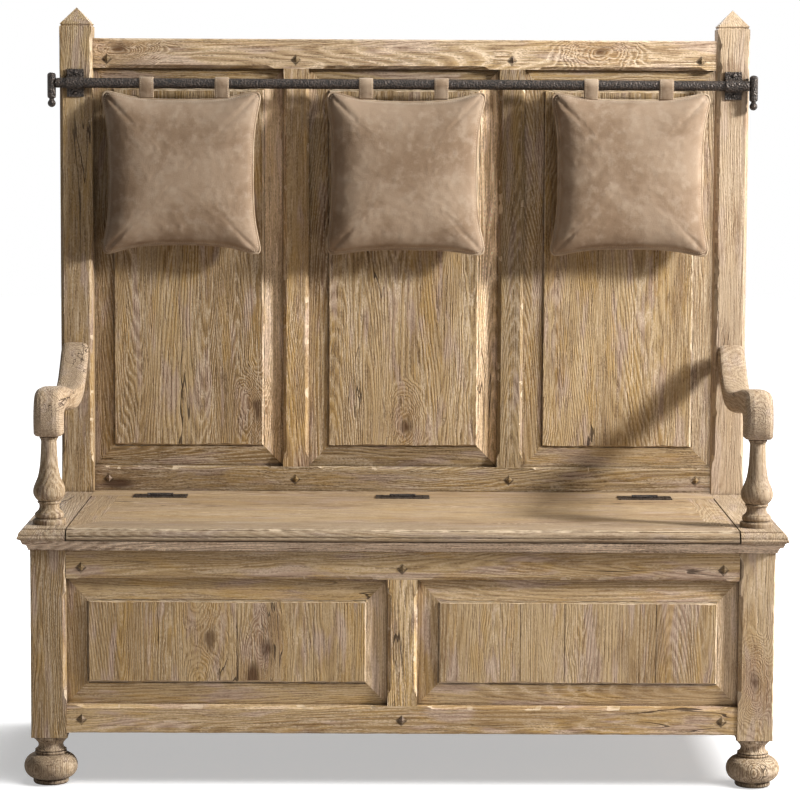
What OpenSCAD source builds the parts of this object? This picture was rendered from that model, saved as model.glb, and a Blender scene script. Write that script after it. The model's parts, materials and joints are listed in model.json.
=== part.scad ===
// Settle bench: a panelled oak chest seat with a hinged lid, a tall framed and
// panelled back, carved arms on turned balusters, bun feet, and an iron rod that
// carries three leather cushions on loops.
// Millimetres. +X is the sitter's left, -Y the front, Z up from the floor.

/* [Overall] */
// Width of the chest over its corner posts
chest_w = 1380; // [1260:10:1700]
// Depth from the chest's front face to the front of the back posts
seat_d = 520; // [460:5:600]
// Height of the seat's top surface
seat_h = 485; // [440:5:540]
// Height of the back posts up to the groove under the finials
post_h = 1418; // [1360:2:1560]
// Height of the bun feet
foot_h = 90; // [75:1:110]

/* [Frame] */
// Width and depth of the front corner posts
stile_w = 66; // [56:1:80]
// Width and depth of the back posts
post_w = 64; // [54:1:72]
// How far the back posts stand in from the chest's end faces
post_inset = 2; // [1:1:8]
// Thickness of every rail and muntin
rail_t = 30; // [28:1:36]
// How far chest rails stand back from the face of the corner posts
rail_set = 2; // [1:0.5:4]
// How far the back's rails stand behind the front of the back posts
back_set = 26; // [22:1:30]
// Clear height of the bottom rails above the feet
bottom_rail_gap = 10; // [4:1:20]
// Height of the bottom rails
bottom_rail_h = 53; // [45:1:65]
// Height of the chest's top rails, lid support to panel
top_rail_h = 72; // [60:1:80]
// Width of the chest's front muntin
front_muntin_w = 55; // [46:1:66]
// Height of the back's top rail
back_top_rail_h = 59; // [50:1:70]
// Distance from the top of the back posts down to the top rail
back_top_drop = 22; // [14:1:40]
// How far the back's seat rail shows above the seat
seat_rail_rise = 50; // [40:1:70]
// Width of the two muntins of the back
back_muntin_w = 51; // [44:1:60]
// Length of the tenons
tenon_l = 24; // [16:1:28]
// Shoulder left above and below each tenon
tenon_shoulder = 12; // [11:1:14]
// Leg of the stopped chamfers on the frame's edges
chamfer = 6.5; // [3:0.5:8]
// Length of the curved stop at each end of a chamfer
chamfer_stop = 16; // [8:1:20]
// Plain length left between a joint and the chamfer's stop
chamfer_end = 18; // [8:1:30]
// Clearance round every tenon, tongue and dowel
joint_fit = 0.2; // [0.1:0.05:0.4]

/* [Panels] */
// Width of the groove and thickness of a panel's tongue plus its fit
groove_w = 8; // [6:0.5:9]
// Depth of the panel grooves
groove_d = 9; // [7:0.5:10]
// Distance from a rail's face back to its groove
groove_set = 14; // [12:0.5:15]
// Width of a panel's sloping border beside posts and muntins
bevel_side = 41; // [30:1:55]
// Height of a panel's sloping border beside rails
bevel_rail = 43; // [30:1:55]
// How far the raised field lies behind the rail's face
field_set = 5; // [3:0.5:7]
// Small step at the edge of the raised field
field_step = 2.5; // [1:0.5:4]

/* [Chest inside] */
// Thickness of the floor boards
floor_t = 12; // [9:1:18]
// Number of floor boards
floor_boards_n = 4; // [2:1:6]
// Gap between two floor boards
floor_gap = 1; // [0.5:0.5:3]
// Side of the cleats that carry the floor and the rear strip
cleat = 20; // [15:1:25]
// Height of the rail under the hinges
hinge_rail_h = 60; // [40:1:70]
// Thickness of the board that closes the chest's back, less its fit
back_board_t = 8; // [6:0.5:9]

/* [Seat] */
// Thickness of the seat boards and the lid
seat_t = 23; // [20:1:30]
// Overhang of the moulded seat edge beyond the corner posts
nose = 22; // [18:1:26]
// Gap between the lid and each end board
lid_gap = 3; // [2:0.5:5]
// Width of the fixed end boards, from the posts' inner face outwards
seat_end_lap = 0.5; // [0:0.5:4]
// Distance from the back posts' front to the hinge line
hinge_back = 65; // [55:1:80]
// Gap between the lid's rear edge and the fixed rear strip
hinge_gap = 2; // [1.5:0.5:3]
// Width of the lid's end cleats
lid_end_w = 52; // [40:1:70]
// Depth of the lid's front rail behind the chest's face
lid_front_d = 92; // [60:1:120]
// Width of the battens under the lid
batten_w = 50; // [40:1:70]
// Thickness of the battens under the lid
batten_t = 18; // [12:1:20]
// Free space in front of and behind the battens
batten_end = 30; // [25:1:60]
// Height of the bed moulding under the seat
bed_h = 18.5; // [16:0.5:24]
// Overhang of the bed moulding
bed_out = 15; // [11:0.5:16]
// Gap between the bed moulding and the lid's moulded edge
lid_relief = 1.5; // [0.5:0.5:2.5]

/* [Hinges] */
// Length of a hinge leaf
leaf_l = 107; // [80:1:120]
// Reach of a leaf from the hinge line
leaf_w = 23; // [18:1:28]
// Thickness of a leaf
leaf_t = 2; // [1.5:0.25:2.5]
// Radius of the knuckles
knuckle_r = 3.5; // [3:0.25:4]
// Radius of the hinge pin
pin_r = 1.6; // [1.2:0.1:1.9]
// Length of the row of knuckles
knuckle_row = 52; // [40:1:70]
// Distance from the side of the lid to the middle of each outer hinge
hinge_in = 136.5; // [115:0.5:220]

/* [Arms] */
// Width of an arm
arm_w = 54; // [44:1:62]
// Height of the hand block's underside above the seat
arm_rise = 165; // [145:1:190]
// Height of an arm's hand block
arm_h = 88; // [80:1:96]
// Length of an arm's tenon in its back post
arm_tenon_l = 20; // [16:1:28]
// Distance from the chest's front to the centre of the baluster
baluster_y = 57; // [50:1:70]
// Largest radius of a baluster
baluster_r = 30; // [24:1:34]
// Radius of the dowels of balusters and feet
dowel_r = 10; // [8:0.5:14]
// Length of the dowels of balusters and feet
dowel_l = 16; // [12:1:20]

/* [Feet] */
// Largest radius of a bun foot
foot_r = 50; // [40:1:54]

/* [Rod] */
// Radius of the iron rod
rod_r = 10; // [8:0.5:12]
// Drop from the post's groove to the rod's centre
rod_drop = 111.5; // [100:0.5:140]
// How far the rod sits off centre between its straps
rod_off = 3.5; // [0:0.5:4]
// Distance from the post's outer face to the centre of a rod tee
tee_out = 11; // [10.5:0.5:16]
// Radius of the rod tees
tee_r = 8.5; // [7:0.5:9]
// Height of the rod tees
tee_h = 69.5; // [60:0.5:80]
// Width of the strap that holds the rod on a post
strap_w = 33; // [26:1:40]
// Height of that strap
strap_h = 55; // [50:1:64]
// Thickness of that strap
strap_t = 3; // [2:0.5:4]

/* [Pegs] */
// Half diagonal of a peg's square head
peg_r = 7; // [5:0.5:9]
// Height of a peg's pyramid head
peg_rise = 4; // [2:0.5:6]
// Distance from the end of a rail to its outer pegs
peg_in = 29; // [24:1:45]

/* [Cushions] */
// Width of a cushion over its corners
cushion_w = 318; // [260:2:340]
// Height of a cushion over its corners
cushion_h = 324; // [260:2:340]
// Thickness of a cushion at its middle
cushion_t = 76; // [50:2:80]
// How far the middle of each side pulls in
cushion_pinch = 17; // [6:1:24]
// How much further apart than the back's panels the cushions hang
cushion_spread = 15; // [-10:1:25]
// How far the row of cushions hangs off centre
cushion_shift = 3.5; // [0:0.5:6]
// Drop from the rod's centre to the rolled seam at the foot of the loops
cushion_drop = 26; // [25:0.5:34]
// Half the distance between the two loops of a cushion
loop_x = 75; // [60:1:90]
// How far the left, centre and right pairs of loops are sewn off centre
loop_off = [6, -5, -5];
// Width of a leather loop
loop_w = 28; // [20:1:36]
// Thickness of the leather of a loop
loop_t = 2.2; // [1.5:0.1:2.5]
// Radius of the rolled seam at the foot of a loop
seam_r = 1.6; // [1:0.1:2]

/* [Hidden] */
$fn = 64;

oak = "burlywood";
dark_oak = "tan";
iron = "dimgray";
hide = "rosybrown";

// Main planes of the chest and the back
total_d = nose + seat_d + post_w;
y_front = nose - total_d / 2;
y_post = y_front + seat_d;
y_back = y_post + post_w;
y_back_rail = y_post + back_set;
x_end = chest_w / 2;
x_post_out = x_end - post_inset;
x_post_in = x_post_out - post_w;
x_stile_in = x_end - stile_w;
x_end_rail = x_post_out - rail_set;
z_top = seat_h - seat_t;
z_rail_bot = foot_h + bottom_rail_gap;
z_low = z_rail_bot + bottom_rail_h;
z_high = z_top - top_rail_h;
z_seat_rail = seat_h + seat_rail_rise;
z_back_rail = post_h - back_top_drop;
z_back_low = z_back_rail - back_top_rail_h;
z_floor = z_rail_bot + cleat / 2 + floor_t / 2;
past = 1;          // how far cutters run past a face

// Hinge line
y_hinge = y_post - hinge_back;
z_hinge = seat_h + knuckle_r + 0.2;
x_lid = x_post_in - seat_end_lap - lid_gap;
hinge_pitch = x_lid - hinge_in;
x_seat_end = x_post_in - seat_end_lap;
leaf_gap = 0.8;    // space between a knuckle and the other leaf
screw_r = 1.6;
screw_l = 12;
screw_head = 3.4;
head_rise = 1.2;

// Arms, finials, rod and cushions
x_arm = x_post_out - arm_w / 2 - 1;
groove_v = 6;      // height of the groove under a finial
groove_in = 3;     // depth of that groove
finial_h = 33;
y_rod = y_post - rod_r;
rod_z = post_h - rod_drop;
x_tee = x_post_out + tee_out;
z_seam = rod_z - cushion_drop;
loop_gap = 0.3;    // space between a loop and the rod
seam_gap = 0.6;    // space between a loop's rolled seam and the cushion
peg_shank = 9;     // side of the peg below its head
peg_l = 20;

// ---- helpers ---------------------------------------------------------------

module block(lo, hi) {
  translate(lo) cube([for (i = [0:2]) hi[i] - lo[i]]);
}

// Draws the right-hand piece, or its mirror image for the left
module side(s) {
  if (s < 0) mirror([1, 0, 0]) children();
  else children();
}

// A flat (p, z) outline run along X, with p pointing to the front
module along_x(len) {
  rotate([90, 0, -90]) linear_extrude(len, center = true) children();
}

// A flat (p, z) outline run along Y, with p pointing to the right
module along_y(len) {
  rotate([90, 0, 0]) linear_extrude(len, center = true) children();
}

// Carries a piece from the frame's own plane to the right-hand end of the chest
module on_end() {
  translate([x_end_rail, 0, 0]) rotate([0, 0, 90]) children();
}

function ellipse_arc(c, rx, rz, a0, a1, n) =
  [for (i = [0:n]) let (a = a0 + (a1 - a0) * i / n) [c[0] + rx * cos(a), c[1] + rz * sin(a)]];

// Cutter for a stopped chamfer. The edge runs up Z from 0, the wood lies in +X +Y.
module chamfer_cut(len) {
  deep = chamfer / sqrt(2);
  n = 5;
  rise = [for (i = [0:n]) [deep * (1 - cos(180 * i / n)) / 2, chamfer_stop * i / n]];
  fall = [for (i = [n:-1:0]) [rise[i][0], len - rise[i][1]]];
  rotate([0, 0, 45]) rotate([90, 0, 0]) linear_extrude(4 * chamfer, center = true)
    polygon(concat([[-chamfer, 0]], rise, fall, [[-chamfer, len]]));
}

// Chamfer on an upright edge from z0 to z1. sx points from the edge into the wood.
module upright_chamfer(x, y, z0, z1, sx) {
  translate([x, y, z0 + chamfer_end]) scale_x(sx) chamfer_cut(z1 - z0 - 2 * chamfer_end);
}

// Chamfer on a level edge from x0 to x1. sz points from the edge into the wood.
module level_chamfer(x0, x1, y, z, sz) {
  translate([x0 + chamfer_end, y, z]) rotate([90, 0, 90]) swap_xy(sz)
    chamfer_cut(x1 - x0 - 2 * chamfer_end);
}

module scale_x(s) {
  if (s < 0) mirror([1, 0, 0]) children();
  else children();
}

module swap_xy(s) {
  if (s < 0) mirror([0, 1, 0]) children();
  else children();
}

// A rail between two posts, drawn in its frame's plane with its face at y = yf
module rail(x0, x1, z0, z1, yf) {
  block([x0, yf, z0], [x1, yf + rail_t, z1]);
  for (e = [[x0 - tenon_l, x0 + past], [x1 - past, x1 + tenon_l]])
    block([e[0], yf + groove_set + joint_fit, z0 + tenon_shoulder],
          [e[1], yf + groove_set + groove_w - joint_fit, z1 - tenon_shoulder]);
}

// Mortise for that rail's tenon; dir points from the shoulder into the post
module rail_mortise(x, dir, z0, z1, yf) {
  reach = tenon_l + joint_fit;
  block([min(x, x + dir * reach) - (dir > 0 ? past : 0), yf + groove_set,
         z0 + tenon_shoulder - joint_fit],
        [max(x, x + dir * reach) + (dir > 0 ? 0 : past), yf + groove_set + groove_w,
         z1 - tenon_shoulder + joint_fit]);
}

// Groove along a level edge: dz is 1 for an upper edge and -1 for a lower one
module level_groove(x0, x1, z, dz, yf) {
  block([x0, yf + groove_set, min(z + dz * past, z - dz * groove_d)],
        [x1, yf + groove_set + groove_w, max(z + dz * past, z - dz * groove_d)]);
}

// Groove along an upright edge: dx is 1 where the edge faces +X
module upright_groove(x, dx, z0, z1, yf) {
  block([min(x + dx * past, x - dx * groove_d), yf + groove_set, z0],
        [max(x + dx * past, x - dx * groove_d), yf + groove_set + groove_w, z1]);
}

// A muntin with a tenon at each end
module muntin(x, w, z0, z1, yf) {
  half = w / 2 - groove_d - 1;
  difference() {
    union() {
      block([x - w / 2, yf, z0], [x + w / 2, yf + rail_t, z1]);
      block([x - half, yf + groove_set + joint_fit, z0 - tenon_l],
            [x + half, yf + groove_set + groove_w - joint_fit, z1 + tenon_l]);
    }
    for (s = [-1, 1]) {
      upright_groove(x + s * w / 2, s, z0 - past, z1 + past, yf);
      upright_chamfer(x + s * w / 2, yf, z0, z1, -s);
    }
  }
}

module muntin_mortise(x, w, z, dz, yf) {
  half = w / 2 - groove_d - 1 + joint_fit;
  reach = tenon_l + joint_fit;
  block([x - half, yf + groove_set, min(z - dz * past, z + dz * reach)],
        [x + half, yf + groove_set + groove_w, max(z - dz * past, z + dz * reach)]);
}

// Outline across a raised and fielded panel, half of width w: [across, depth]
function panel_half(w, bevel) = [
  [w / 2 + groove_d - joint_fit, groove_set + joint_fit],
  [w / 2, groove_set + joint_fit],
  [w / 2 - bevel, field_set + field_step],
  [w / 2 - bevel, field_set]
];

function panel_outline(w, bevel) = let (h = panel_half(w, bevel), b = groove_set + groove_w - joint_fit)
  concat([[h[0][0], b]], h, [for (i = [3:-1:0]) [-h[i][0], h[i][1]]], [[-h[0][0], b]]);

// Raised and fielded panel that fills the opening x0..x1, z0..z1 of a frame
module raised_panel(x0, x1, z0, z1, yf) {
  w = x1 - x0;
  h = z1 - z0;
  translate([(x0 + x1) / 2, yf, (z0 + z1) / 2]) intersection() {
    linear_extrude(h + 2 * (groove_d - joint_fit), center = true)
      polygon(panel_outline(w, bevel_side));
    rotate([0, 90, 0]) linear_extrude(w + 2 * (groove_d - joint_fit), center = true)
      polygon(panel_outline(h, bevel_rail));
  }
}

// A square bar whose four faces all follow the same (half width, height) outline
module four_faced(outline) {
  full = concat(outline, [for (i = [len(outline) - 1:-1:0]) [-outline[i][0], outline[i][1]]]);
  intersection() {
    along_y(4 * outline[0][0]) polygon(full);
    along_x(4 * outline[0][0]) polygon(full);
  }
}

// Square pyramid with its base on z = 0
module pyramid(half, h) {
  four_faced([[half, 0], [0.01, h]]);
}

// ---- the chest's front -----------------------------------------------------

module front_post() {
  color(oak) difference() {
    block([x_stile_in, y_front, foot_h], [x_end, y_front + stile_w, z_top]);
    rail_mortise(x_stile_in, 1, z_high, z_top, y_front + rail_set);
    rail_mortise(x_stile_in, 1, z_rail_bot, z_low, y_front + rail_set);
    upright_groove(x_stile_in, -1, z_low - groove_d, z_high + groove_d, y_front + rail_set);
    upright_chamfer(x_stile_in, y_front, z_low, z_high, 1);
    on_end() {
      rail_mortise(y_front + stile_w, -1, z_high, z_top, 0);
      rail_mortise(y_front + stile_w, -1, z_rail_bot, z_low, 0);
      upright_groove(y_front + stile_w, 1, z_low - groove_d, z_high + groove_d, 0);
    }
    translate([x_end - stile_w / 2, y_front + stile_w / 2, foot_h]) dowel_hole();
  }
}

module front_top_rail() {
  yf = y_front + rail_set;
  color(oak) difference() {
    rail(-x_stile_in, x_stile_in, z_high, z_top, yf);
    level_groove(-x_stile_in, x_stile_in, z_high, -1, yf);
    muntin_mortise(0, front_muntin_w, z_high, 1, yf);
    for (s = [-1, 1]) level_chamfer(front_bay(s)[0], front_bay(s)[1], yf, z_high, 1);
    peg_holes();
  }
}

module front_bottom_rail() {
  yf = y_front + rail_set;
  color(oak) difference() {
    rail(-x_stile_in, x_stile_in, z_rail_bot, z_low, yf);
    level_groove(-x_stile_in, x_stile_in, z_low, 1, yf);
    muntin_mortise(0, front_muntin_w, z_low, -1, yf);
    for (s = [-1, 1]) level_chamfer(front_bay(s)[0], front_bay(s)[1], yf, z_low, -1);
    peg_holes();
  }
}

// Left and right limits of the front panels' openings
function front_bay(s) = s < 0 ? [-x_stile_in, -front_muntin_w / 2] : [front_muntin_w / 2, x_stile_in];

module front_muntin() {
  color(oak) difference() {
    muntin(0, front_muntin_w, z_low, z_high, y_front + rail_set);
    peg_holes();
  }
}

module front_panel(s) {
  color(dark_oak) raised_panel(front_bay(s)[0], front_bay(s)[1], z_low, z_high, y_front + rail_set);
}

// ---- the chest's ends ------------------------------------------------------

module end_rails() {
  y0 = y_front + stile_w;
  color(oak) on_end() {
    difference() {
      rail(y0, y_post, z_high, z_top, 0);
      level_groove(y0, y_post, z_high, -1, 0);
      level_chamfer(y0, y_post, 0, z_high, 1);
      bearer_mortise();
    }
    difference() {
      rail(y0, y_post, z_rail_bot, z_low, 0);
      level_groove(y0, y_post, z_low, 1, 0);
      level_chamfer(y0, y_post, 0, z_low, -1);
    }
  }
}

// Notch in an end rail for the hinge rail, in the end frame's own plane
module bearer_mortise() {
  block([y_hinge + hinge_gap / 2, rail_t - tenon_l / 2, z_top - hinge_rail_h],
        [y_hinge + hinge_gap / 2 + rail_t, rail_t + past, z_top + past]);
}

module end_panel() {
  color(dark_oak) on_end() raised_panel(y_front + stile_w, y_post, z_low, z_high, 0);
}

// ---- the back --------------------------------------------------------------

module back_post() {
  yf = y_back_rail;
  color(oak) difference() {
    translate([x_post_out - post_w / 2, y_post + post_w / 2, 0]) four_faced(post_outline());
    for (z = [[z_back_low, z_back_rail], [z_top - tenon_shoulder, z_seat_rail], [z_rail_bot, z_low]])
      rail_mortise(x_post_in, 1, z[0], z[1], yf);
    upright_groove(x_post_in, -1, z_seat_rail - groove_d, z_back_low + groove_d, yf);
    upright_groove(x_post_in, -1, z_low - groove_d, z_top, yf);
    upright_chamfer(x_post_in, y_post, z_seat_rail, z_back_low, 1);
    upright_chamfer(x_post_out, y_post, z_seat_rail, z_back_low, -1);
    on_end() {
      rail_mortise(y_post, 1, z_high, z_top, 0);
      rail_mortise(y_post, 1, z_rail_bot, z_low, 0);
      upright_groove(y_post, -1, z_low - groove_d, z_high + groove_d, 0);
    }
    arm_mortise();
    strap_screw_holes();
    translate([x_post_out - stile_w / 2, y_rear_foot, foot_h]) dowel_hole();
  }
}

// Silhouette of a back post with its groove and pyramid finial
function post_outline() = let (h = post_w / 2, tip = post_h + groove_v) [
  [h, foot_h],
  [h, post_h],
  [h - groove_in, post_h + groove_v / 2],
  [h - 1, tip],
  [0.01, tip + finial_h]
];

module back_top_rail() {
  yf = y_back_rail;
  color(oak) difference() {
    rail(-x_post_in, x_post_in, z_back_low, z_back_rail, yf);
    level_groove(-x_post_in, x_post_in, z_back_low, -1, yf);
    for (s = [-1, 1]) muntin_mortise(s * x_back_muntin, back_muntin_w, z_back_low, 1, yf);
    for (b = back_bays) level_chamfer(b[0], b[1], yf, z_back_low, 1);
    peg_holes();
  }
}

module back_seat_rail() {
  yf = y_back_rail;
  color(oak) difference() {
    rail(-x_post_in, x_post_in, z_top - tenon_shoulder, z_seat_rail, yf);
    level_groove(-x_post_in, x_post_in, z_seat_rail, 1, yf);
    level_groove(-x_post_in, x_post_in, z_top - tenon_shoulder, -1, yf);
    for (s = [-1, 1]) muntin_mortise(s * x_back_muntin, back_muntin_w, z_seat_rail, -1, yf);
    for (b = back_bays) level_chamfer(b[0], b[1], yf, z_seat_rail, -1);
    peg_holes();
  }
}

module back_bottom_rail() {
  color(oak) difference() {
    rail(-x_post_in, x_post_in, z_rail_bot, z_low, y_back_rail);
    level_groove(-x_post_in, x_post_in, z_low, 1, y_back_rail);
  }
}

x_back_muntin = x_post_in / 3 + back_muntin_w / 6;
back_bays = [
  [-x_post_in, -x_back_muntin - back_muntin_w / 2],
  [-x_back_muntin + back_muntin_w / 2, x_back_muntin - back_muntin_w / 2],
  [x_back_muntin + back_muntin_w / 2, x_post_in]
];

module back_muntin(s) {
  color(oak) difference() {
    muntin(s * x_back_muntin, back_muntin_w, z_seat_rail, z_back_low, y_back_rail);
    peg_holes();
  }
}

module back_panel(i) {
  color(dark_oak) raised_panel(back_bays[i][0], back_bays[i][1], z_seat_rail, z_back_low, y_back_rail);
}

module chest_back_board() {
  reach = groove_d - joint_fit;
  slack = (groove_w - back_board_t) / 2 + joint_fit;
  color(dark_oak) block([-x_post_in - reach, y_back_rail + groove_set + slack, z_low - reach],
                        [x_post_in + reach, y_back_rail + groove_set + groove_w - slack,
                         z_top - tenon_shoulder + reach]);
}

// ---- inside the chest ------------------------------------------------------

y_inside = y_front + rail_set + rail_t;   // inner face of the front rails

module floor_boards() {
  d = (y_back_rail - y_inside) / floor_boards_n;
  x_in = x_end_rail - rail_t - joint_fit;
  color(dark_oak) difference() {
    for (i = [0:floor_boards_n - 1])
      block([-x_in, y_inside + i * d + floor_gap / 2, z_floor],
            [x_in, y_inside + (i + 1) * d - floor_gap / 2, z_floor + floor_t]);
    for (s = [-1, 1]) side(s) {
      block([x_stile_in - joint_fit, y_inside - past, z_floor - past],
            [x_end, y_front + stile_w + joint_fit, z_floor + floor_t + past]);
      block([x_post_in - joint_fit, y_post - joint_fit, z_floor - past],
            [x_end, y_back, z_floor + floor_t + past]);
    }
  }
}

module floor_cleats() {
  color(dark_oak) for (y = [[y_inside, y_inside + cleat], [y_back_rail - cleat, y_back_rail]])
    block([-x_post_in + 1, y[0], z_floor - cleat / 2], [x_post_in - 1, y[1], z_floor]);
}

module hinge_rail() {
  x = x_end_rail - rail_t + tenon_l / 2 - joint_fit;
  y0 = y_hinge + hinge_gap / 2;
  color(oak) block([-x, y0 + joint_fit, z_top - hinge_rail_h + joint_fit],
                   [x, y0 + rail_t - joint_fit, z_top]);
}

module strip_cleat() {
  color(oak) block([-x_post_in + 1, y_back_rail - cleat, z_top - cleat],
                   [x_post_in - 1, y_back_rail, z_top]);
}

// ---- seat, mouldings and lid -----------------------------------------------

// Moulded edge of the seat boards: fillet, ovolo, quirk and bead, [out, up]
function seat_edge(relief) = let (t = seat_t, z = seat_h, n = nose) concat(
  [[n - 11, z], [n - 11, z - t * 0.11]],
  ellipse_arc([n - 10.5, z - t * 0.57], 8.5, t * 0.44, 90, 10, 6),
  [[n - 2.6, z - t * 0.58]],
  ellipse_arc([n - 3, z - t * 0.74], 3, t * 0.14, 70, -60, 6),
  [[n - 6.5, z - t + relief + 0.8], [n - 7, z - t + relief], [0, z - t + relief], [0, z - t]]
);

// Bed moulding: sloped fascia, quirk, cove and fillet
bed_edge = let (z = z_top, h = bed_h, n = bed_out) concat(
  [[0, z], [n, z], [n, z - h * 0.08], [n - 2.4, z - h * 0.36], [n - 3.4, z - h * 0.4]],
  ellipse_arc([n - 3.4, z - h * 0.76], n - 8, h * 0.36, 90, 180, 6),
  [[3.6, z - h * 0.8], [3, z - h], [0, z - h]]
);

module front_moulding() {
  x = x_end + bed_out;
  color(oak) translate([0, y_front, 0]) difference() {
    along_x(2 * x) polygon(bed_edge);
    for (s = [-1, 1]) side(s) translate([x_end, 0, foot_h]) rotate([0, 0, 45])
      translate([0, -2 * bed_out, 0]) cube([2 * bed_out, 4 * bed_out, seat_h]);
  }
}

module end_mouldings() {
  len = y_back - y_front + bed_out;
  color(oak) for (s = [-1, 1]) side(s) difference() {
    translate([x_end, y_back - len / 2, 0]) along_y(len) polygon(bed_edge);
    translate([x_end, y_front, foot_h]) rotate([0, 0, 45])
      translate([-2 * bed_out, -2 * bed_out, 0]) cube([2 * bed_out, 4 * bed_out, seat_h]);
  }
}

// Seat board of the whole plan, moulded at the front and at both ends
module moulded_seat() {
  deep = total_d + chest_w;
  inner = [[-deep, z_top], [-deep, seat_h]];
  intersection() {
    translate([0, y_front, 0]) along_x(2 * deep) polygon(concat(inner, seat_edge(0)));
    translate([x_end, 0, 0]) along_y(2 * deep) polygon(concat(inner, seat_edge(0)));
    block([-deep, -deep, 0], [deep, y_back, 2 * seat_h]);
  }
}

module seat_end() {
  color(oak) difference() {
    intersection() {
      moulded_seat();
      block([x_seat_end, -total_d, 0], [chest_w, y_back, 2 * seat_h]);
    }
    block([x_post_in - seat_end_lap - past, y_post - joint_fit, 0],
          [x_post_out + joint_fit, y_back + past, 2 * seat_h]);
    translate([x_arm, y_front + baluster_y, seat_h - dowel_l - joint_fit])
      cylinder(h = dowel_l + past, r = dowel_r + joint_fit);
  }
}

module seat_rear_strip() {
  color(oak) difference() {
    block([-x_seat_end + joint_fit, y_hinge + hinge_gap / 2, z_top],
          [x_seat_end - joint_fit, y_back_rail, seat_h]);
    for (s = [-1, 1]) side(s) block([x_post_in - joint_fit, y_post - joint_fit, 0],
                                    [chest_w, y_back, 2 * seat_h]);
    hinge_screw_places(1) cylinder(h = 3 * screw_l, r = screw_r + joint_fit, center = true);
  }
}

// Plan of the mitre between the lid's front rail and its right end cleat
module lid_mitre() {
  linear_extrude(2 * seat_h) polygon([
    [x_lid - lid_end_w, y_front + lid_front_d], [x_lid, y_front + 3],
    [x_lid + past, y_front], [x_lid + past, y_back], [x_lid - lid_end_w, y_back]
  ]);
}

module lid_blank() {
  intersection() {
    moulded_lid();
    block([-x_lid, -total_d, 0], [x_lid, y_hinge - hinge_gap / 2, 2 * seat_h]);
  }
}

module moulded_lid() {
  deep = total_d;
  translate([0, y_front, 0]) along_x(2 * x_lid)
    polygon(concat([[-deep, z_top], [-deep, seat_h]], seat_edge(lid_relief)));
}

module lid_front_rail() {
  color(oak) difference() {
    intersection() {
      lid_blank();
      block([-x_lid, -total_d, 0], [x_lid, y_front + lid_front_d, 2 * seat_h]);
    }
    for (s = [-1, 1]) side(s) lid_mitre();
  }
}

module lid_end() {
  color(oak) intersection() {
    lid_blank();
    lid_mitre();
  }
}

module lid_panel() {
  x = x_lid - lid_end_w;
  color(oak) difference() {
    block([-x, y_front + lid_front_d, z_top], [x, y_hinge - hinge_gap / 2, seat_h]);
    hinge_screw_places(-1) cylinder(h = 3 * screw_l, r = screw_r + joint_fit, center = true);
  }
}

module lid_battens() {
  color(dark_oak) for (x = [-hinge_pitch * 0.72, 0, hinge_pitch * 0.72])
    block([x - batten_w / 2, y_inside + batten_end, z_top - batten_t],
          [x + batten_w / 2, y_hinge - batten_end, z_top]);
}

// ---- hinges ----------------------------------------------------------------

knuckles = 5;
knuckle_l = knuckle_row / knuckles;
knuckle_play = 0.2;

// The leaf on side d of the hinge line; own knuckles start at index k0
module hinge_leaf(d, k0) {
  reach = [knuckle_r + leaf_gap, leaf_w];
  difference() {
    union() {
      block([-leaf_l / 2, d > 0 ? reach[0] : -reach[1], seat_h],
            [leaf_l / 2, d > 0 ? reach[1] : -reach[0], seat_h + leaf_t]);
      for (k = [k0:2:knuckles - 1]) translate([(k + 0.5) * knuckle_l - knuckle_row / 2, 0, 0]) {
        w = knuckle_l - knuckle_play;
        block([-w / 2, d > 0 ? 0 : -reach[0] - past, seat_h + 0.2],
              [w / 2, d > 0 ? reach[0] + past : 0, seat_h + leaf_t]);
        translate([0, 0, z_hinge]) rotate([0, 90, 0]) cylinder(h = w, r = knuckle_r, center = true);
      }
    }
    translate([0, 0, z_hinge]) rotate([0, 90, 0])
      cylinder(h = 2 * leaf_l, r = pin_r + 0.05, center = true);
    for (x = [-1, 1]) translate([x * leaf_l * 0.38, d * leaf_w * 0.6, seat_h])
      cylinder(h = 4 * leaf_t, r = screw_r + joint_fit, center = true);
  }
}

module at_hinges() {
  for (i = [-1:1]) translate([i * hinge_pitch, y_hinge, 0]) children();
}

module hinge_screw_places(d) {
  at_hinges() for (x = [-1, 1]) translate([x * leaf_l * 0.38, d * leaf_w * 0.6, seat_h + leaf_t])
    children();
}

module hinge_screws(d) {
  color(iron) hinge_screw_places(d) {
    intersection() {
      translate([0, 0, head_rise - screw_head * 1.6]) sphere(r = screw_head * 1.6);
      cylinder(h = head_rise, r = screw_head);
    }
    translate([0, 0, -screw_l]) cylinder(h = screw_l + 0.1, r = screw_r);
  }
}

module hinge_pins() {
  color(iron) at_hinges() translate([0, 0, z_hinge]) rotate([0, 90, 0])
    cylinder(h = knuckle_row, r = pin_r, center = true);
}

// ---- arms and balusters ----------------------------------------------------

// Point on a Bezier curve through four control points
function bezier(c, t) = let (u = 1 - t)
  u * u * u * c[0] + 3 * u * u * t * c[1] + 3 * u * t * t * c[2] + t * t * t * c[3];

function chain(curves, n) = concat(
  [for (c = curves) for (i = [0:n - 1]) bezier(c, i / n)], [curves[len(curves) - 1][3]]);

// Points of an arm's side view, in multiples of its hand block's height, measured
// from the back post and from the baluster's centre line: [depth, height]
function from_post(along, up) = [seat_d - along * arm_h, up * arm_h];
function from_hand(along, up) = [baluster_y + along * arm_h, up * arm_h];

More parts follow.
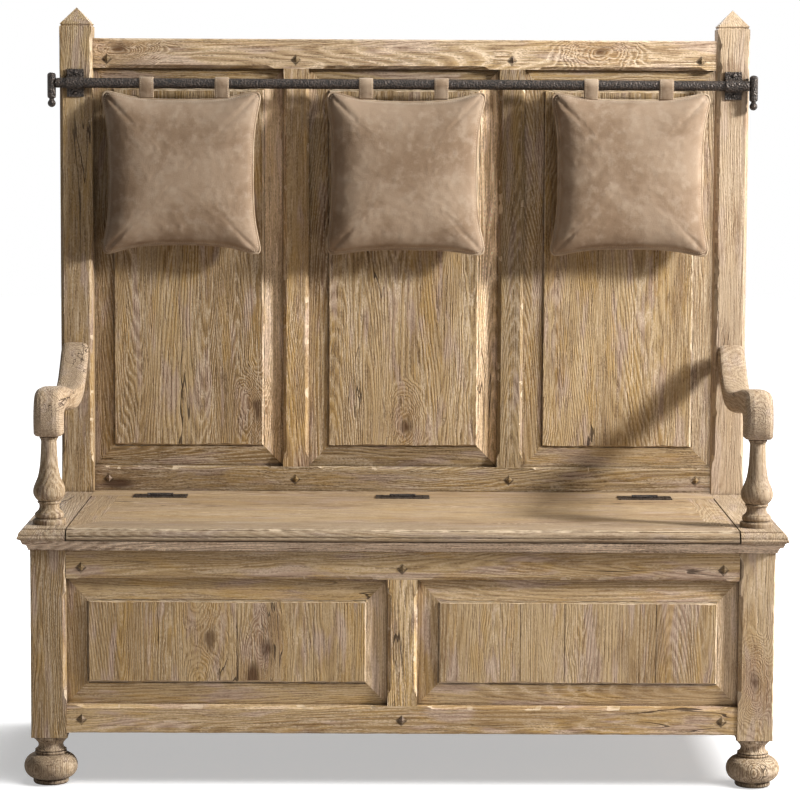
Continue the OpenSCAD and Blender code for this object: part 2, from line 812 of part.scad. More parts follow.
// The upper line from the post over the hand block and down its front, and the lower
// line from the post along the underside and down the block's back
arm_top = [
  [from_post(0, 1.568), from_post(0.455, 1.227), from_post(0.705, 0.705), from_post(1.477, 0.693)],
  [from_post(1.477, 0.693), from_post(2.955, 0.682), from_hand(1.591, 1), from_hand(0.159, 1)],
  [from_hand(0.159, 1), from_hand(-0.25, 1), from_hand(-0.409, 0.818), from_hand(-0.42, 0.455)],
  [from_hand(-0.42, 0.455), from_hand(-0.432, 0.227), from_hand(-0.364, 0.023), from_hand(-0.25, 0)]
];
arm_under = [
  [from_post(0, 1.091), from_post(0.523, 0.75), from_post(0.795, 0.25), from_post(2.045, 0.25)],
  [from_post(2.045, 0.25), from_post(2.955, 0.25), from_hand(1.591, 0.432), from_hand(0.75, 0.432)],
  [from_hand(0.75, 0.432), from_hand(0.5, 0.432), from_hand(0.409, 0.386), from_hand(0.386, 0.273)],
  [from_hand(0.386, 0.273), from_hand(0.375, 0.159), from_hand(0.364, 0.023), from_hand(0.25, 0)]
];

// Rings of a softly squared section swept between the upper and the lower line
module arm() {
  n = 7;
  m = 20;
  soft = 0.5;
  top = chain(arm_top, n);
  under = chain(arm_under, n);
  last = len(top) - 1;
  function rounded(a) = sign(a) * pow(abs(a), soft);
  function ring(i) = let (slim = i < last - 2 ? 1 : 1 - 0.07 * (i - last + 2))
    [for (k = [0:m - 1]) let (
      a = 360 * (k + 0.5) / m,
      across = x_arm + slim * arm_w / 2 * rounded(cos(a)) / rounded(cos(180 / m)),
      share = 0.5 + 0.5 * rounded(sin(a)) / rounded(cos(180 / m)),
      p = under[i] + share * (top[i] - under[i])
    ) [across, y_front + p[0], seat_h + arm_rise + p[1]]];
  points = [for (i = [0:last]) each ring(i)];
  faces = concat(
    [[for (k = [0:m - 1]) k]],
    [for (i = [0:last - 1]) for (k = [0:m - 1]) [
      i * m + k, (i + 1) * m + k, (i + 1) * m + (k + 1) % m, i * m + (k + 1) % m]],
    [[for (k = [m - 1:-1:0]) last * m + k]]
  );
  color(oak) union() {
    difference() {
      polyhedron(points = points, faces = faces, convexity = 4);
      translate([x_arm, y_front + baluster_y, seat_h + arm_rise - past])
        cylinder(h = dowel_l + joint_fit + past, r = dowel_r + 2 * joint_fit);
    }
    arm_tenon(0);
  }
}

// Tenon of an arm in its back post, grown by fit for the mortise
module arm_tenon(fit) {
  z = seat_h + arm_rise + 1.33 * arm_h;
  half = [arm_w * 2 / 9, 0, arm_h * 0.16];
  centre = [x_arm, y_post, z];
  block(centre - half - [fit, fit > 0 ? past : 4, fit],
        centre + half + [fit, arm_tenon_l + fit, fit]);
}

module arm_mortise() {
  arm_tenon(joint_fit);
}

// Smooth curve through a list of points, n steps between neighbours
function smooth(p, n) = let (m = len(p) - 1) concat(
  [for (i = [0:m - 1]) for (k = [0:n - 1]) let (
    t = k / n, a = p[max(i - 1, 0)], b = p[i], c = p[i + 1], d = p[min(i + 2, m)])
    (2 * b + (c - a) * t + (2 * a - 5 * b + 4 * c - d) * t * t
     + (3 * b - a - 3 * c + d) * t * t * t) / 2],
  [p[m]]);

// Base, torus, cove, ring, bulb, column and collar of a baluster: [radius, height]
module baluster() {
  r = baluster_r;
  h = arm_rise;
  function at(p) = [p[0] * r, p[1] * h];
  outline = concat(
    [[0, 0], at([1.04, 0]), at([1.04, 0.045]), at([1.01, 0.055]), at([0.92, 0.06])],
    ellipse_arc(at([0.8, 0.1]), r * 0.11, h * 0.033, -75, 90, 6),
    smooth([at([0.8, 0.138]), at([0.68, 0.158]), at([0.62, 0.19]), at([0.63, 0.222])], 3),
    ellipse_arc(at([0.66, 0.248]), r * 0.08, h * 0.016, -90, 90, 5),
    smooth([at([0.72, 0.266]), at([0.87, 0.296]), at([0.97, 0.33]), at([1, 0.365]),
            at([0.985, 0.4]), at([0.93, 0.435]), at([0.83, 0.478]), at([0.735, 0.52]),
            at([0.665, 0.565]), at([0.6, 0.63]), at([0.54, 0.73]), at([0.51, 0.83]),
            at([0.485, 0.94])], 2),
    [at([0.515, 0.95]), at([0.515, 0.96])],
    ellipse_arc(at([0.5, 0.98]), r * 0.085, h * 0.017, -90, 90, 6),
    [at([0.48, 1]), [0, h]]
  );
  color(oak) translate([x_arm, y_front + baluster_y, seat_h]) {
    rotate_extrude() polygon(outline);
    translate([0, 0, -dowel_l]) cylinder(h = dowel_l + h + dowel_l, r = dowel_r);
  }
}

// ---- feet ------------------------------------------------------------------

y_rear_foot = y_back - foot_r;

module dowel_hole() {
  translate([0, 0, -past]) cylinder(h = dowel_l + joint_fit + past, r = dowel_r + joint_fit);
}

module bun_foot() {
  r = foot_r;
  h = foot_h;
  outline = concat(
    [[0, 0], [r * 0.62, 0], [r * 0.66, h * 0.03], [r * 0.66, h * 0.08], [r * 0.62, h * 0.1]],
    ellipse_arc([r * 0.55, h * 0.36], r * 0.45, h * 0.26, -80, 80, 12),
    [[r * 0.56, h * 0.625]],
    ellipse_arc([r * 0.56, h * 0.655], r * 0.04, h * 0.03, -90, 90, 4),
    [[r * 0.53, h * 0.69]],
    ellipse_arc([r * 0.72, h * 0.805], r * 0.26, h * 0.115, 240, 130, 6),
    [[r * 0.58, h * 0.925], [r * 0.63, h * 0.935], [r * 0.645, h * 0.95], [r * 0.645, h], [0, h]]
  );
  rotate_extrude() polygon(outline);
  translate([0, 0, h - past]) cylinder(h = dowel_l + past, r = dowel_r);
}

module front_feet() {
  color(oak) for (s = [-1, 1])
    translate([s * (x_end - stile_w / 2), y_front + stile_w / 2, 0]) bun_foot();
}

module rear_feet() {
  color(oak) for (s = [-1, 1]) translate([s * (x_post_out - stile_w / 2), y_rear_foot, 0]) bun_foot();
}

// ---- pegs ------------------------------------------------------------------

// Places of the square pegs, each with its rail's face at y
module at_pegs() {
  yf = y_front + rail_set;
  for (z = [z_low - bottom_rail_h / 2, z_high + top_rail_h * 0.3])
    for (x = [-x_stile_in + peg_in, 0, x_stile_in - peg_in]) translate([x, yf, z]) children();
  for (z = [z_seat_rail - seat_rail_rise / 2, z_back_rail - back_top_rail_h * 0.68])
    for (x = [-x_post_in + peg_in, -x_back_muntin, x_back_muntin, x_post_in - peg_in])
      translate([x, y_back_rail, z]) children();
}

module peg_holes() {
  w = peg_shank / sqrt(2) + joint_fit;
  at_pegs() rotate([0, 45, 0]) translate([-w / 2, -past, -w / 2]) cube([w, peg_l + joint_fit + past, w]);
}

module oak_pegs() {
  w = peg_shank / sqrt(2) - joint_fit;
  color(dark_oak) at_pegs() rotate([0, 45, 0]) {
    translate([-w / 2, -0.1, -w / 2]) cube([w, peg_l + 0.1, w]);
    rotate([90, 0, 0]) pyramid(peg_r / sqrt(2), peg_rise);
  }
}

// ---- rod, tees and straps --------------------------------------------------

module rod() {
  color(iron) translate([-rod_off, y_rod, rod_z]) rotate([0, 90, 0]) {
    cylinder(h = 2 * (x_tee - tee_r - 0.5), r = rod_r, center = true);
    cylinder(h = 2 * (x_tee + tee_r * 0.4), r = rod_r * 0.5, center = true);
  }
}

// Forged upright at each end of the rod: domed barrel, neck and ball
module rod_tees() {
  r = tee_r;
  crown = tee_h * 0.302;
  dome = r * 0.7;
  ball_r = r * 0.94;
  ball = crown - tee_h + ball_r;
  outline = concat(
    [[0, ball - ball_r]],
    ellipse_arc([0, ball], ball_r, ball_r, -80, 50, 8),
    [[r * 0.55, ball + r * 1.06], [r * 0.95, ball + r * 1.35], [r, ball + r * 1.7], [r, crown - dome]],
    ellipse_arc([0, crown - dome], r, dome, 10, 80, 5),
    [[0, crown]]
  );
  color(iron) translate([-rod_off, 0, 0]) for (s = [-1, 1]) side(s) difference() {
    translate([x_tee, y_rod, rod_z]) rotate_extrude() polygon(outline);
    translate([0, y_rod, rod_z]) rotate([0, 90, 0])
      cylinder(h = x_tee + r * 0.4 + joint_fit, r = rod_r * 0.5 + 0.05);
    translate([x_tee - r - 1, y_rod, rod_z]) rotate([0, 90, 0]) cylinder(h = 1, r = rod_r + joint_fit);
  }
}

// Strap bent over the rod with a screwed flange above and below
module rod_straps() {
  bore = rod_r + 0.05;
  out = bore + strap_t;
  color(iron) for (s = [-1, 1]) side(s) translate([x_post_out - post_w / 2, y_rod, rod_z])
    difference() {
      union() {
        rotate([0, 90, 0]) cylinder(h = strap_w, r = out, center = true);
        block([-strap_w / 2, -0.5, -out], [strap_w / 2, rod_r, out]);
        block([-strap_w / 2, rod_r - strap_t, -strap_h / 2], [strap_w / 2, rod_r, strap_h / 2]);
      }
      rotate([0, 90, 0]) cylinder(h = strap_w + 2 * past, r = bore, center = true);
      block([-strap_w, 1, -bore - 0.15], [strap_w, out + past, bore + 0.15]);
      block([-strap_w, rod_r, -strap_h], [strap_w, out + past, strap_h]);
      for (z = [-1, 1]) translate([0, rod_r, z * strap_screw_z]) rotate([90, 0, 0])
        cylinder(h = 4 * strap_t, r = strap_screw_r + joint_fit, center = true);
    }
}

strap_screw_z = (strap_h / 2 + rod_r + strap_t) / 2;
strap_screw_r = 2.2;
strap_screw_l = 25;

module at_strap_screws() {
  for (z = [-1, 1]) translate([x_post_out - post_w / 2, y_post, rod_z + z * strap_screw_z])
    rotate([90, 0, 0]) children();
}

module strap_screw_holes() {
  at_strap_screws() translate([0, 0, -strap_screw_l - joint_fit])
    cylinder(h = 2 * strap_screw_l, r = strap_screw_r + joint_fit);
}

module strap_screws() {
  color(iron) for (s = [-1, 1]) side(s) at_strap_screws() {
    translate([0, 0, -strap_screw_l]) cylinder(h = strap_screw_l + strap_t + 0.1, r = strap_screw_r);
    translate([0, 0, strap_t]) intersection() {
      translate([0, 0, 2.5 - 6]) sphere(r = 6);
      cylinder(h = 2.5, r = 4.6);
    }
  }
}

// ---- cushions and their loops ----------------------------------------------

// Crowned pillow whose sides pull in between its corners, hanging from z = 0.
// The seam's own thickness is nothing: front and back share the border points.
module cushion(i) {
  n = 12;
  half = cushion_w / 2;
  tall = cushion_h / 2;
  thick = min(cushion_t / 2, rod_r + back_set + field_set - 2);
  function pull(t) = cushion_pinch * (1 - pow(abs(t), 2.6));
  dip = pull(loop_reach / half);
  function u(k) = sin(90 * (2 * k / n - 1));
  function soft(a, b) = 1 - 0.02 * pow(a * b, 8);
  function place(a, b) = [a * soft(a, b) * (half - pull(b)),
                          b * soft(a, b) * (tall - pull(a)) - tall + dip];
  function crown(a, b) = thick * pow((1 - pow(a, 2)) * (1 - pow(b, 2)), 0.62);
  function inner(j, k) = j > 0 && j < n && k > 0 && k < n;
  function id(j, k, s) = (s > 0 && inner(j, k)) ? (n + 1) * (n + 1) + (j - 1) * (n - 1) + k - 1
                                                : j * (n + 1) + k;
  front = [for (j = [0:n]) for (k = [0:n]) let (p = place(u(j), u(k)))
    [p[0], -crown(u(j), u(k)), p[1]]];
  back = [for (j = [1:n - 1]) for (k = [1:n - 1]) let (p = place(u(j), u(k)))
    [p[0], crown(u(j), u(k)), p[1]]];
  // each cell's diagonal starts at the corner nearest to it, so that no face lies in the seam
  function turned(j, k) = (j < n / 2) != (k < n / 2);
  function cell(j, k, s) = turned(j, k)
    ? [[id(j, k, s), id(j, k + 1, s), id(j + 1, k, s)],
       [id(j + 1, k, s), id(j, k + 1, s), id(j + 1, k + 1, s)]]
    : [[id(j, k, s), id(j, k + 1, s), id(j + 1, k + 1, s)],
       [id(j, k, s), id(j + 1, k + 1, s), id(j + 1, k, s)]];
  function back_face(f) = [f[0], f[2], f[1]];
  faces = concat(
    [for (j = [0:n - 1]) for (k = [0:n - 1]) for (f = cell(j, k, -1)) f],
    [for (j = [0:n - 1]) for (k = [0:n - 1]) for (f = cell(j, k, 1)) back_face(f)]
  );
  color(hide) translate([x_cushion(i), y_rod, z_seam])
    translate([0, 0, -seam_r - seam_gap]) polyhedron(points = concat(front, back), faces = faces);
}

// How far from a cushion's middle its loops reach, with their side shift
loop_reach = loop_x + loop_w / 2 + max([for (v = loop_off) abs(v)]);

function x_cushion(i) = i * (2 * x_back_muntin + cushion_spread) + cushion_shift;

// Leather looped over the rod, its two plies meeting in a rolled seam, on which the
// cushion turns
module loops(i) {
  r_in = rod_r + loop_gap;
  r_out = r_in + loop_t;
  color(hide) for (s = [-1, 1])
    translate([x_cushion(i) + loop_off[i + 1] + s * loop_x, y_rod, rod_z])
    rotate([90, 0, 90]) linear_extrude(loop_w, center = true) difference() {
      union() {
        teardrop(r_out, cushion_drop);
        translate([0, -cushion_drop]) circle(seam_r);
      }
      teardrop(r_in, cushion_drop - loop_t * cushion_drop / r_out);
    }
}

// Circle with a straight-sided point that reaches drop below its centre
module teardrop(r, drop) {
  a = acos(r / drop);
  n = 28;
  polygon(concat([[0, -drop]], [for (k = [0:n]) let (t = a + (360 - 2 * a) * k / n)
    [r * sin(t), -r * cos(t)]]));
}

// ---- nodes -----------------------------------------------------------------

side(-1) front_post();  // front_post_left
side(1) front_post();  // front_post_right
front_top_rail();
front_bottom_rail();
front_muntin();
front_panel(-1);  // front_panel_left
front_panel(1);  // front_panel_right
side(-1) end_rails();  // end_rails_left
side(1) end_rails();  // end_rails_right
side(-1) end_panel();  // end_panel_left
side(1) end_panel();  // end_panel_right
side(-1) back_post();  // back_post_left
side(1) back_post();  // back_post_right
back_top_rail();
back_seat_rail();
back_bottom_rail();
back_muntin(-1);  // back_muntin_left
back_muntin(1);  // back_muntin_right
back_panel(0);  // back_panel_left
back_panel(1);  // back_panel_centre
back_panel(2);  // back_panel_right
chest_back_board();
floor_boards();
floor_cleats();
hinge_rail();
strip_cleat();
front_moulding();
end_mouldings();
side(-1) seat_end();  // seat_end_left
side(1) seat_end();  // seat_end_right
seat_rear_strip();
lid_panel();
lid_front_rail();
side(-1) lid_end();  // lid_end_left
side(1) lid_end();  // lid_end_right
lid_battens();
color(iron) at_hinges() hinge_leaf(1, 0);  // hinge_fixed_leaves
color(iron) at_hinges() hinge_leaf(-1, 1);  // hinge_lid_leaves
hinge_pins();
hinge_screws(1);  // hinge_fixed_screws
hinge_screws(-1);  // hinge_lid_screws
side(-1) arm();  // arm_left
side(1) arm();  // arm_right
side(-1) baluster();  // baluster_left
side(1) baluster();  // baluster_right
front_feet();
rear_feet();
oak_pegs();
rod();
rod_tees();
rod_straps();
strap_screws();
cushion(-1);  // cushion_left
cushion(0);  // cushion_centre
cushion(1);  // cushion_right
loops(-1);  // loops_left
loops(0);  // loops_centre
loops(1);  // loops_right
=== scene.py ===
import json
import math

import bmesh
import bpy
import numpy as np
from mathutils import Matrix, Vector, noise

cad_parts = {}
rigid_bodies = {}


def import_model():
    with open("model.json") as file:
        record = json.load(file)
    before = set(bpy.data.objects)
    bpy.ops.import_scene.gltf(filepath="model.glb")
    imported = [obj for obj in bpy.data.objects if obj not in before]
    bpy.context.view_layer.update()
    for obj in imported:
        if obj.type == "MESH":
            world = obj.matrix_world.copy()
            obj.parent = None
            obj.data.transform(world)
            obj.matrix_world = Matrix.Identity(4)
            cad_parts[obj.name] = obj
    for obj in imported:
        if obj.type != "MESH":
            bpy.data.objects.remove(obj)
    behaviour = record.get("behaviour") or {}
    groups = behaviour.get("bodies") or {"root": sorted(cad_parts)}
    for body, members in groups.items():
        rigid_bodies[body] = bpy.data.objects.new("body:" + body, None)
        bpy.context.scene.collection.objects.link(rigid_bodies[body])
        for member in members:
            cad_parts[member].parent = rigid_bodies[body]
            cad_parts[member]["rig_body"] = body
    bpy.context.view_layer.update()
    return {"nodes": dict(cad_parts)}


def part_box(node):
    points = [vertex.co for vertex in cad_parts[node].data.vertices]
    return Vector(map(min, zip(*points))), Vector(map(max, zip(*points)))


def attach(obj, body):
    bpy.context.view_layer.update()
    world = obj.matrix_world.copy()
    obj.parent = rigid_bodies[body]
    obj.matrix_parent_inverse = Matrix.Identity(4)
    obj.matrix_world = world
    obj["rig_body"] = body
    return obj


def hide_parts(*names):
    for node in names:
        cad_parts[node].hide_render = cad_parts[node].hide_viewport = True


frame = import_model()
nodes = frame["nodes"]
node_body = {n: o["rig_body"] for n, o in nodes.items()}

MM = 0.001
SIDES = ("left", "centre", "right")


# ---- camera, lights, floor


CAMERA_SPOT = (-0.01666, -5.75732, 1.26002)
CAMERA_TURNS = ((-0.1029, "Z"), (84.41, "X"), (0.2763, "Z"))


def make_camera():
    data = bpy.data.cameras.new("camera")
    data.lens = 134.56
    data.sensor_fit = "HORIZONTAL"
    data.clip_end = 60.0
    camera = show("camera", data)
    turn = Matrix()
    for degrees, axis in CAMERA_TURNS:
        turn = turn @ Matrix.Rotation(math.radians(degrees), 4, axis)
    camera.matrix_world = Matrix.Translation(CAMERA_SPOT) @ turn
    bpy.context.scene.camera = camera


# turn to the right and height in degrees, distance and size in metres, power, colour
LAMPS = {
    "key": (71, 24, 5.5, 0.6, 440, (1, 0.985, 0.96)),
    "side": (75, 26, 3.2, 0.6, 74, (1, 0.985, 0.96)),
    "front": (42, 33, 4.0, 0.35, 17, (1, 0.96, 0.9)),
    "low": (20, 8, 4.5, 1.2, 9, (1, 0.93, 0.83)),
    "top": (150, 80, 2.6, 0.5, 16, (1, 1, 1)),
    "behind": (188, 28, 5.0, 1.6, 110, (1, 1, 1)),
    "floor_wash": (84, 60, 4.6, 5.5, 860, (1, 1, 1)),
}


def area_light(name, turn, height, distance, size, power, colour):
    """A square soft box that faces the bench."""
    turn, height = math.radians(turn), math.radians(height)
    target = Vector((0.0, 0.1, 0.8))
    away = Vector((
        math.sin(turn) * math.cos(height), -math.cos(turn) * math.cos(height), math.sin(height)))
    data = bpy.data.lights.new(name, "AREA")
    data.shape = "SQUARE"
    data.size = size
    data.energy = power
    data.color = colour
    light = show(name, data)
    light.location = target + away * distance
    light.rotation_euler = (-away).to_track_quat("-Z", "Y").to_euler()
    return light


def light_group(name, obj, state):
    """A collection for light linking that takes in or leaves out one object."""
    group = bpy.data.collections.new(name)
    group.objects.link(obj)
    group.collection_objects[0].light_linking.link_state = state
    return group


def make_lights(floor):
    """The wash lights the floor alone, and the other lamps light all but the floor."""
    lamps = {name: area_light(name, *values) for name, values in LAMPS.items()}
    not_floor = light_group("all_but_floor", floor, "EXCLUDE")
    for lamp in lamps.values():
        lamp.light_linking.receiver_collection = not_floor
    wash = lamps["floor_wash"].light_linking
    wash.receiver_collection = light_group("floor_only", floor, "INCLUDE")
    return lamps


def let_light_past(name, lamps):
    """The named piece casts no shade under these lamps."""
    past = light_group("no_shade", bpy.data.objects[name], "EXCLUDE")
    for lamp in lamps:
        lamp.light_linking.blocker_collection = past


def make_world():
    world = bpy.data.worlds.new("studio")
    bpy.context.scene.world = world
    world.use_nodes = True
    tree = world.node_tree
    tree.nodes.clear()
    lit = node(tree, "ShaderNodeBackground", {"Color": (1.0, 0.95, 0.88, 1), "Strength": 0.02})
    seen = node(tree, "ShaderNodeBackground", {"Color": (1, 1, 1, 1)})
    mix = node(tree, "ShaderNodeMixShader", {
        0: seen_white(tree), 1: lit.outputs[0], 2: seen.outputs[0]})
    node(tree, "ShaderNodeOutputWorld", {"Surface": mix.outputs[0]})


def seen_white(tree):
    """1 for the rays that see the white studio: those of the camera, of gloss and of glass."""
    path = node(tree, "ShaderNodeLightPath").outputs
    gloss = maths("MAXIMUM", path["Is Glossy Ray"], path["Is Transmission Ray"])
    return maths("MAXIMUM", path["Is Camera Ray"], gloss)


def make_floor():
    r = 14.0
    floor = place_mesh(
        "floor", [(-r, -r, 0), (r, -r, 0), (r, r, 0), (-r, r, 0)], [(0, 1, 2, 3)])
    material, tree = new_material("pale_floor")
    seen = node(tree, "ShaderNodeLightPath").outputs["Is Camera Ray"]
    paint = blend_colours(seen, (0.36, 0.333, 0.32, 1), (0.75, 0.75, 0.75, 1))
    diffuse = node(tree, "ShaderNodeBsdfDiffuse", {"Color": paint})
    fade = step(length_of(object_place(tree)), 1.0, 3.4, 0.46, 1.0)
    glow = node(tree, "ShaderNodeEmission", {
        "Color": (1, 1, 1, 1), "Strength": times(seen_white(tree), fade)})
    both = node(tree, "ShaderNodeAddShader", {0: diffuse.outputs[0], 1: glow.outputs[0]})
    node(tree, "ShaderNodeOutputMaterial", {"Surface": both.outputs[0]})
    floor.data.materials.append(material)
    return floor


# ---- helpers for node trees


def node(tree, kind, inputs=None, **settings):
    """A new node with its settings, and with values or sockets at its inputs."""
    made = tree.nodes.new(kind)
    for key, value in settings.items():
        setattr(made, key, value)
    for key, value in (inputs or {}).items():
        plug(value, made.inputs[key])
    return made


def plug(value, socket):
    if isinstance(value, bpy.types.NodeSocket):
        socket.id_data.links.new(value, socket)
    else:
        socket.default_value = value


def maths(operation, a, b=0.0):
    """A sum with a socket and a value or socket, in the socket's own tree."""
    return node(a.id_data, "ShaderNodeMath", {0: a, 1: b}, operation=operation).outputs[0]


def times(first, *others):
    """The product of a socket and values or sockets."""
    for other in others:
        first = maths("MULTIPLY", first, other)
    return first


def plus(first, *others):
    """The sum of a socket and values or sockets."""
    for other in others:
        first = maths("ADD", first, other)
    return first


def vmaths(operation, a, b=(0.0, 0.0, 0.0)):
    return node(a.id_data, "ShaderNodeVectorMath", {0: a, 1: b}, operation=operation).outputs[0]


def length_of(vector):
    made = node(vector.id_data, "ShaderNodeVectorMath", {0: vector}, operation="LENGTH")
    return made.outputs["Value"]


def object_place(tree):
    return node(tree, "ShaderNodeTexCoord").outputs["Object"]


def step(value, low, high, to_low=0.0, to_high=1.0):
    """A smooth step from to_low, where value is low, to to_high, where it is high."""
    return node(value.id_data, "ShaderNodeMapRange", {
        "Value": value, "From Min": low, "From Max": high, "To Min": to_low,
        "To Max": to_high}, interpolation_type="SMOOTHSTEP").outputs[0]


def blend_colours(factor, a, b):
    return node(factor.id_data, "ShaderNodeMix", {0: factor, 6: a, 7: b},
                data_type="RGBA").outputs[2]


def coat(under, mask, share, colour):
    """A colour laid over another one where the mask is, and at most by share."""
    return blend_colours(times(mask, share), under, srgb(*colour))


def noise_at(vector, along, across=None, detail=2.0, roughness=0.5, distortion=0.0, shift=None):
    """Noise with one scale along x and another across it, in cycles a metre."""
    if shift:
        vector = vmaths("ADD", vector, shift)
    across = across or along
    return node(vector.id_data, "ShaderNodeTexNoise", {
        "Vector": vmaths("MULTIPLY", vector, (along, across, across)), "Scale": 1.0,
        "Detail": detail, "Roughness": roughness, "Distortion": distortion}).outputs["Fac"]


def new_material(name):
    material = bpy.data.materials.new(name)
    material.use_nodes = True
    material.node_tree.nodes.clear()
    return material, material.node_tree


def surface(tree, inputs, relief=0.0, height=0.0, depth=1.0):
    """The material's surface, with relief of the given strength and depth where it has any."""
    if relief:
        bump = node(tree, "ShaderNodeBump", {
            "Strength": relief, "Distance": depth, "Height": height})
        inputs = {**inputs, "Normal": bump.outputs[0]}
    skin = node(tree, "ShaderNodeBsdfPrincipled", inputs)
    node(tree, "ShaderNodeOutputMaterial", {"Surface": skin.outputs[0]})


def new_group(name, kind, inputs, outputs):
    """An empty node group, with the sockets inside it that give its inputs and take its outputs."""
    tree = bpy.data.node_groups.new(name, kind)
    for label, socket_type, *value in inputs:
        socket = tree.interface.new_socket(label, in_out="INPUT", socket_type=socket_type)
        if value:
            socket.default_value = value[0]
    for label, socket_type in outputs:
        tree.interface.new_socket(label, in_out="OUTPUT", socket_type=socket_type)
    return tree, tree.nodes.new("NodeGroupInput").outputs, tree.nodes.new("NodeGroupOutput").inputs


def srgb(r, g, b):
    def linear(v):
        v /= 255.0
        return v / 12.92 if v <= 0.04045 else ((v + 0.055) / 1.055) ** 2.4

    return (linear(r), linear(g), linear(b), 1.0)


FLOAT, VECTOR, COLOUR = "NodeSocketFloat", "NodeSocketVector", "NodeSocketColor"
SHAPE, STUFF = "NodeSocketGeometry", "NodeSocketMaterial"
FAR_AWAY = (0, 0, 9)


# ---- oak


def limed_oak_group():
    """Limed oak. Vector is in metres, with x along the grain, y across it and z into the board."""
    tree, given, out = new_group(
        "limed_oak", "ShaderNodeTree",
        [("Vector", VECTOR), ("Seed", FLOAT), ("Tone", FLOAT, 1.0), ("Figure", FLOAT, 1.0),
         ("Grey", FLOAT), ("Knot", VECTOR, FAR_AWAY), ("Second Knot", VECTOR, FAR_AWAY),
         ("Wear", FLOAT), ("Dirt", FLOAT)],
        [("Color", COLOUR), ("Roughness", FLOAT), ("Height", FLOAT)])
    shift = node(tree, "ShaderNodeCombineXYZ", {
        axis: times(given["Seed"], far) for axis, far in enumerate((3.17, 1.31, 0.73))})
    straight = vmaths("ADD", given["Vector"], shift.outputs[0])

    # knots: scattered ones and up to two in chosen places
    cells = node(tree, "ShaderNodeTexVoronoi", {
        "Vector": vmaths("MULTIPLY", straight, (2.0, 6.5, 6.5)), "Scale": 1.0}).outputs
    chance = node(tree, "ShaderNodeSeparateColor", {"Color": cells["Color"]}).outputs[0]
    is_knot = step(chance, 0.70, 0.74)
    swirl = times(step(cells["Distance"], 0.34, 0.0), is_knot)
    core = times(step(cells["Distance"], 0.10, 0.045), is_knot)
    ragged = node(tree, "ShaderNodeTexNoise", {"Vector": straight, "Scale": 26.0})
    ragged = vmaths("MULTIPLY", ragged.outputs["Color"], (0.022, 0.022, 0.022))
    ragged = vmaths("SUBTRACT", ragged, (0.011, 0.011, 0.011))
    for label in ("Knot", "Second Knot"):
        apart = vmaths("SUBTRACT", given["Vector"], given[label])
        apart = vmaths("MULTIPLY", apart, (0.5, 0.0, 1.0))
        far = length_of(vmaths("ADD", apart, ragged))
        swirl = maths("MAXIMUM", swirl, step(far, 0.055, 0.0))
        core = maths("MAXIMUM", core, step(far, 0.016, 0.001))

    # the fibres wander sideways
    sway = plus(noise_at(straight, 4.0, 20.0), -0.5)
    kink = plus(noise_at(straight, 30.0, 55.0), -0.5)
    aside = plus(times(sway, 0.018), times(kink, 0.003), times(swirl, 0.012))
    push = node(tree, "ShaderNodeCombineXYZ", {1: aside, 2: aside})
    place = vmaths("ADD", straight, push.outputs[0])

    # annual rings: level lines of a field that is drawn out along the grain
    field = noise_at(place, 0.42, 5.5, 1.5, 0.45)
    ring = maths("FRACT", plus(times(field, 132.0), times(swirl, 11.0)))
    pale_line = times(step(ring, 0.0, 0.15), step(ring, 0.5, 0.3))
    dark_line = times(step(ring, 0.5, 0.66), step(ring, 1.0, 0.84))

    # short fibres and pores, which break the lines up
    fibre = noise_at(place, 9.0, 400.0, 2.0, 0.6)
    pores = noise_at(place, 8.0, 360.0, 2.0, 0.6, shift=(3.0, 1.0, 2.0))
    gaps = noise_at(place, 190.0, 420.0, 2.0, 0.6)
    lime_patch = noise_at(place, 2.6, 20.0, 3.0, 0.6)
    lime = times(pale_line, step(gaps, 0.40, 0.6, 0.25, 1.0))
    speck = times(step(pores, 0.50, 0.64), step(gaps, 0.3, 0.6, 0.4, 1.0))
    lime = maths("MAXIMUM", lime, speck)
    lime = times(lime, step(lime_patch, 0.36, 0.64, 0.4, 1.0))
    late = times(dark_line, step(gaps, 0.62, 0.38, 0.35, 1.0))
    pit = times(step(fibre, 0.5, 0.38), step(gaps, 0.7, 0.4, 0.3, 1.0))

    # checks along the grain
    split = plus(noise_at(place, 2.6, 40.0), -0.5)
    where = step(noise_at(place, 1.7, 7.0, 1.0), 0.62, 0.68)
    crack = times(step(maths("ABSOLUTE", split), 0.012, 0.004), where)

    # coats of colour, from broad patches to fine lines
    broad = noise_at(place, 1.3, 6.0, 3.0, 0.55)
    stain = noise_at(place, 5.0, 16.0, 4.0, 0.65)
    mauve = noise_at(place, 7.0, 42.0, 3.0, shift=(5.0, 2.0, 1.0))
    ochre = noise_at(place, 6.0, 34.0, 3.0, shift=(2.0, 7.0, 3.0))
    strength = given["Figure"]
    tone = blend_colours(step(broad, 0.3, 0.7), srgb(152, 124, 84), srgb(189, 162, 120))
    for mask, share, colour in (
        (step(mauve, 0.52, 0.64), 0.7, (176, 152, 138)),
        (step(ochre, 0.53, 0.64), 0.6, (178, 143, 82)),
        (given["Grey"], 0.7, (162, 145, 127)),
        (step(stain, 0.56, 0.7), 0.55, (112, 84, 54)),
        (maths("SUBTRACT", swirl, core), 0.5, (136, 99, 60)),
        (times(late, strength), 0.52, (104, 77, 51)),
        (times(pit, strength), 0.68, (90, 65, 43)),
        (times(lime, strength), 0.72, (230, 210, 184)),
        (core, 0.9, (74, 46, 24)),
        (crack, 0.85, (52, 37, 25)),
    ):
        tone = coat(tone, mask, share, colour)

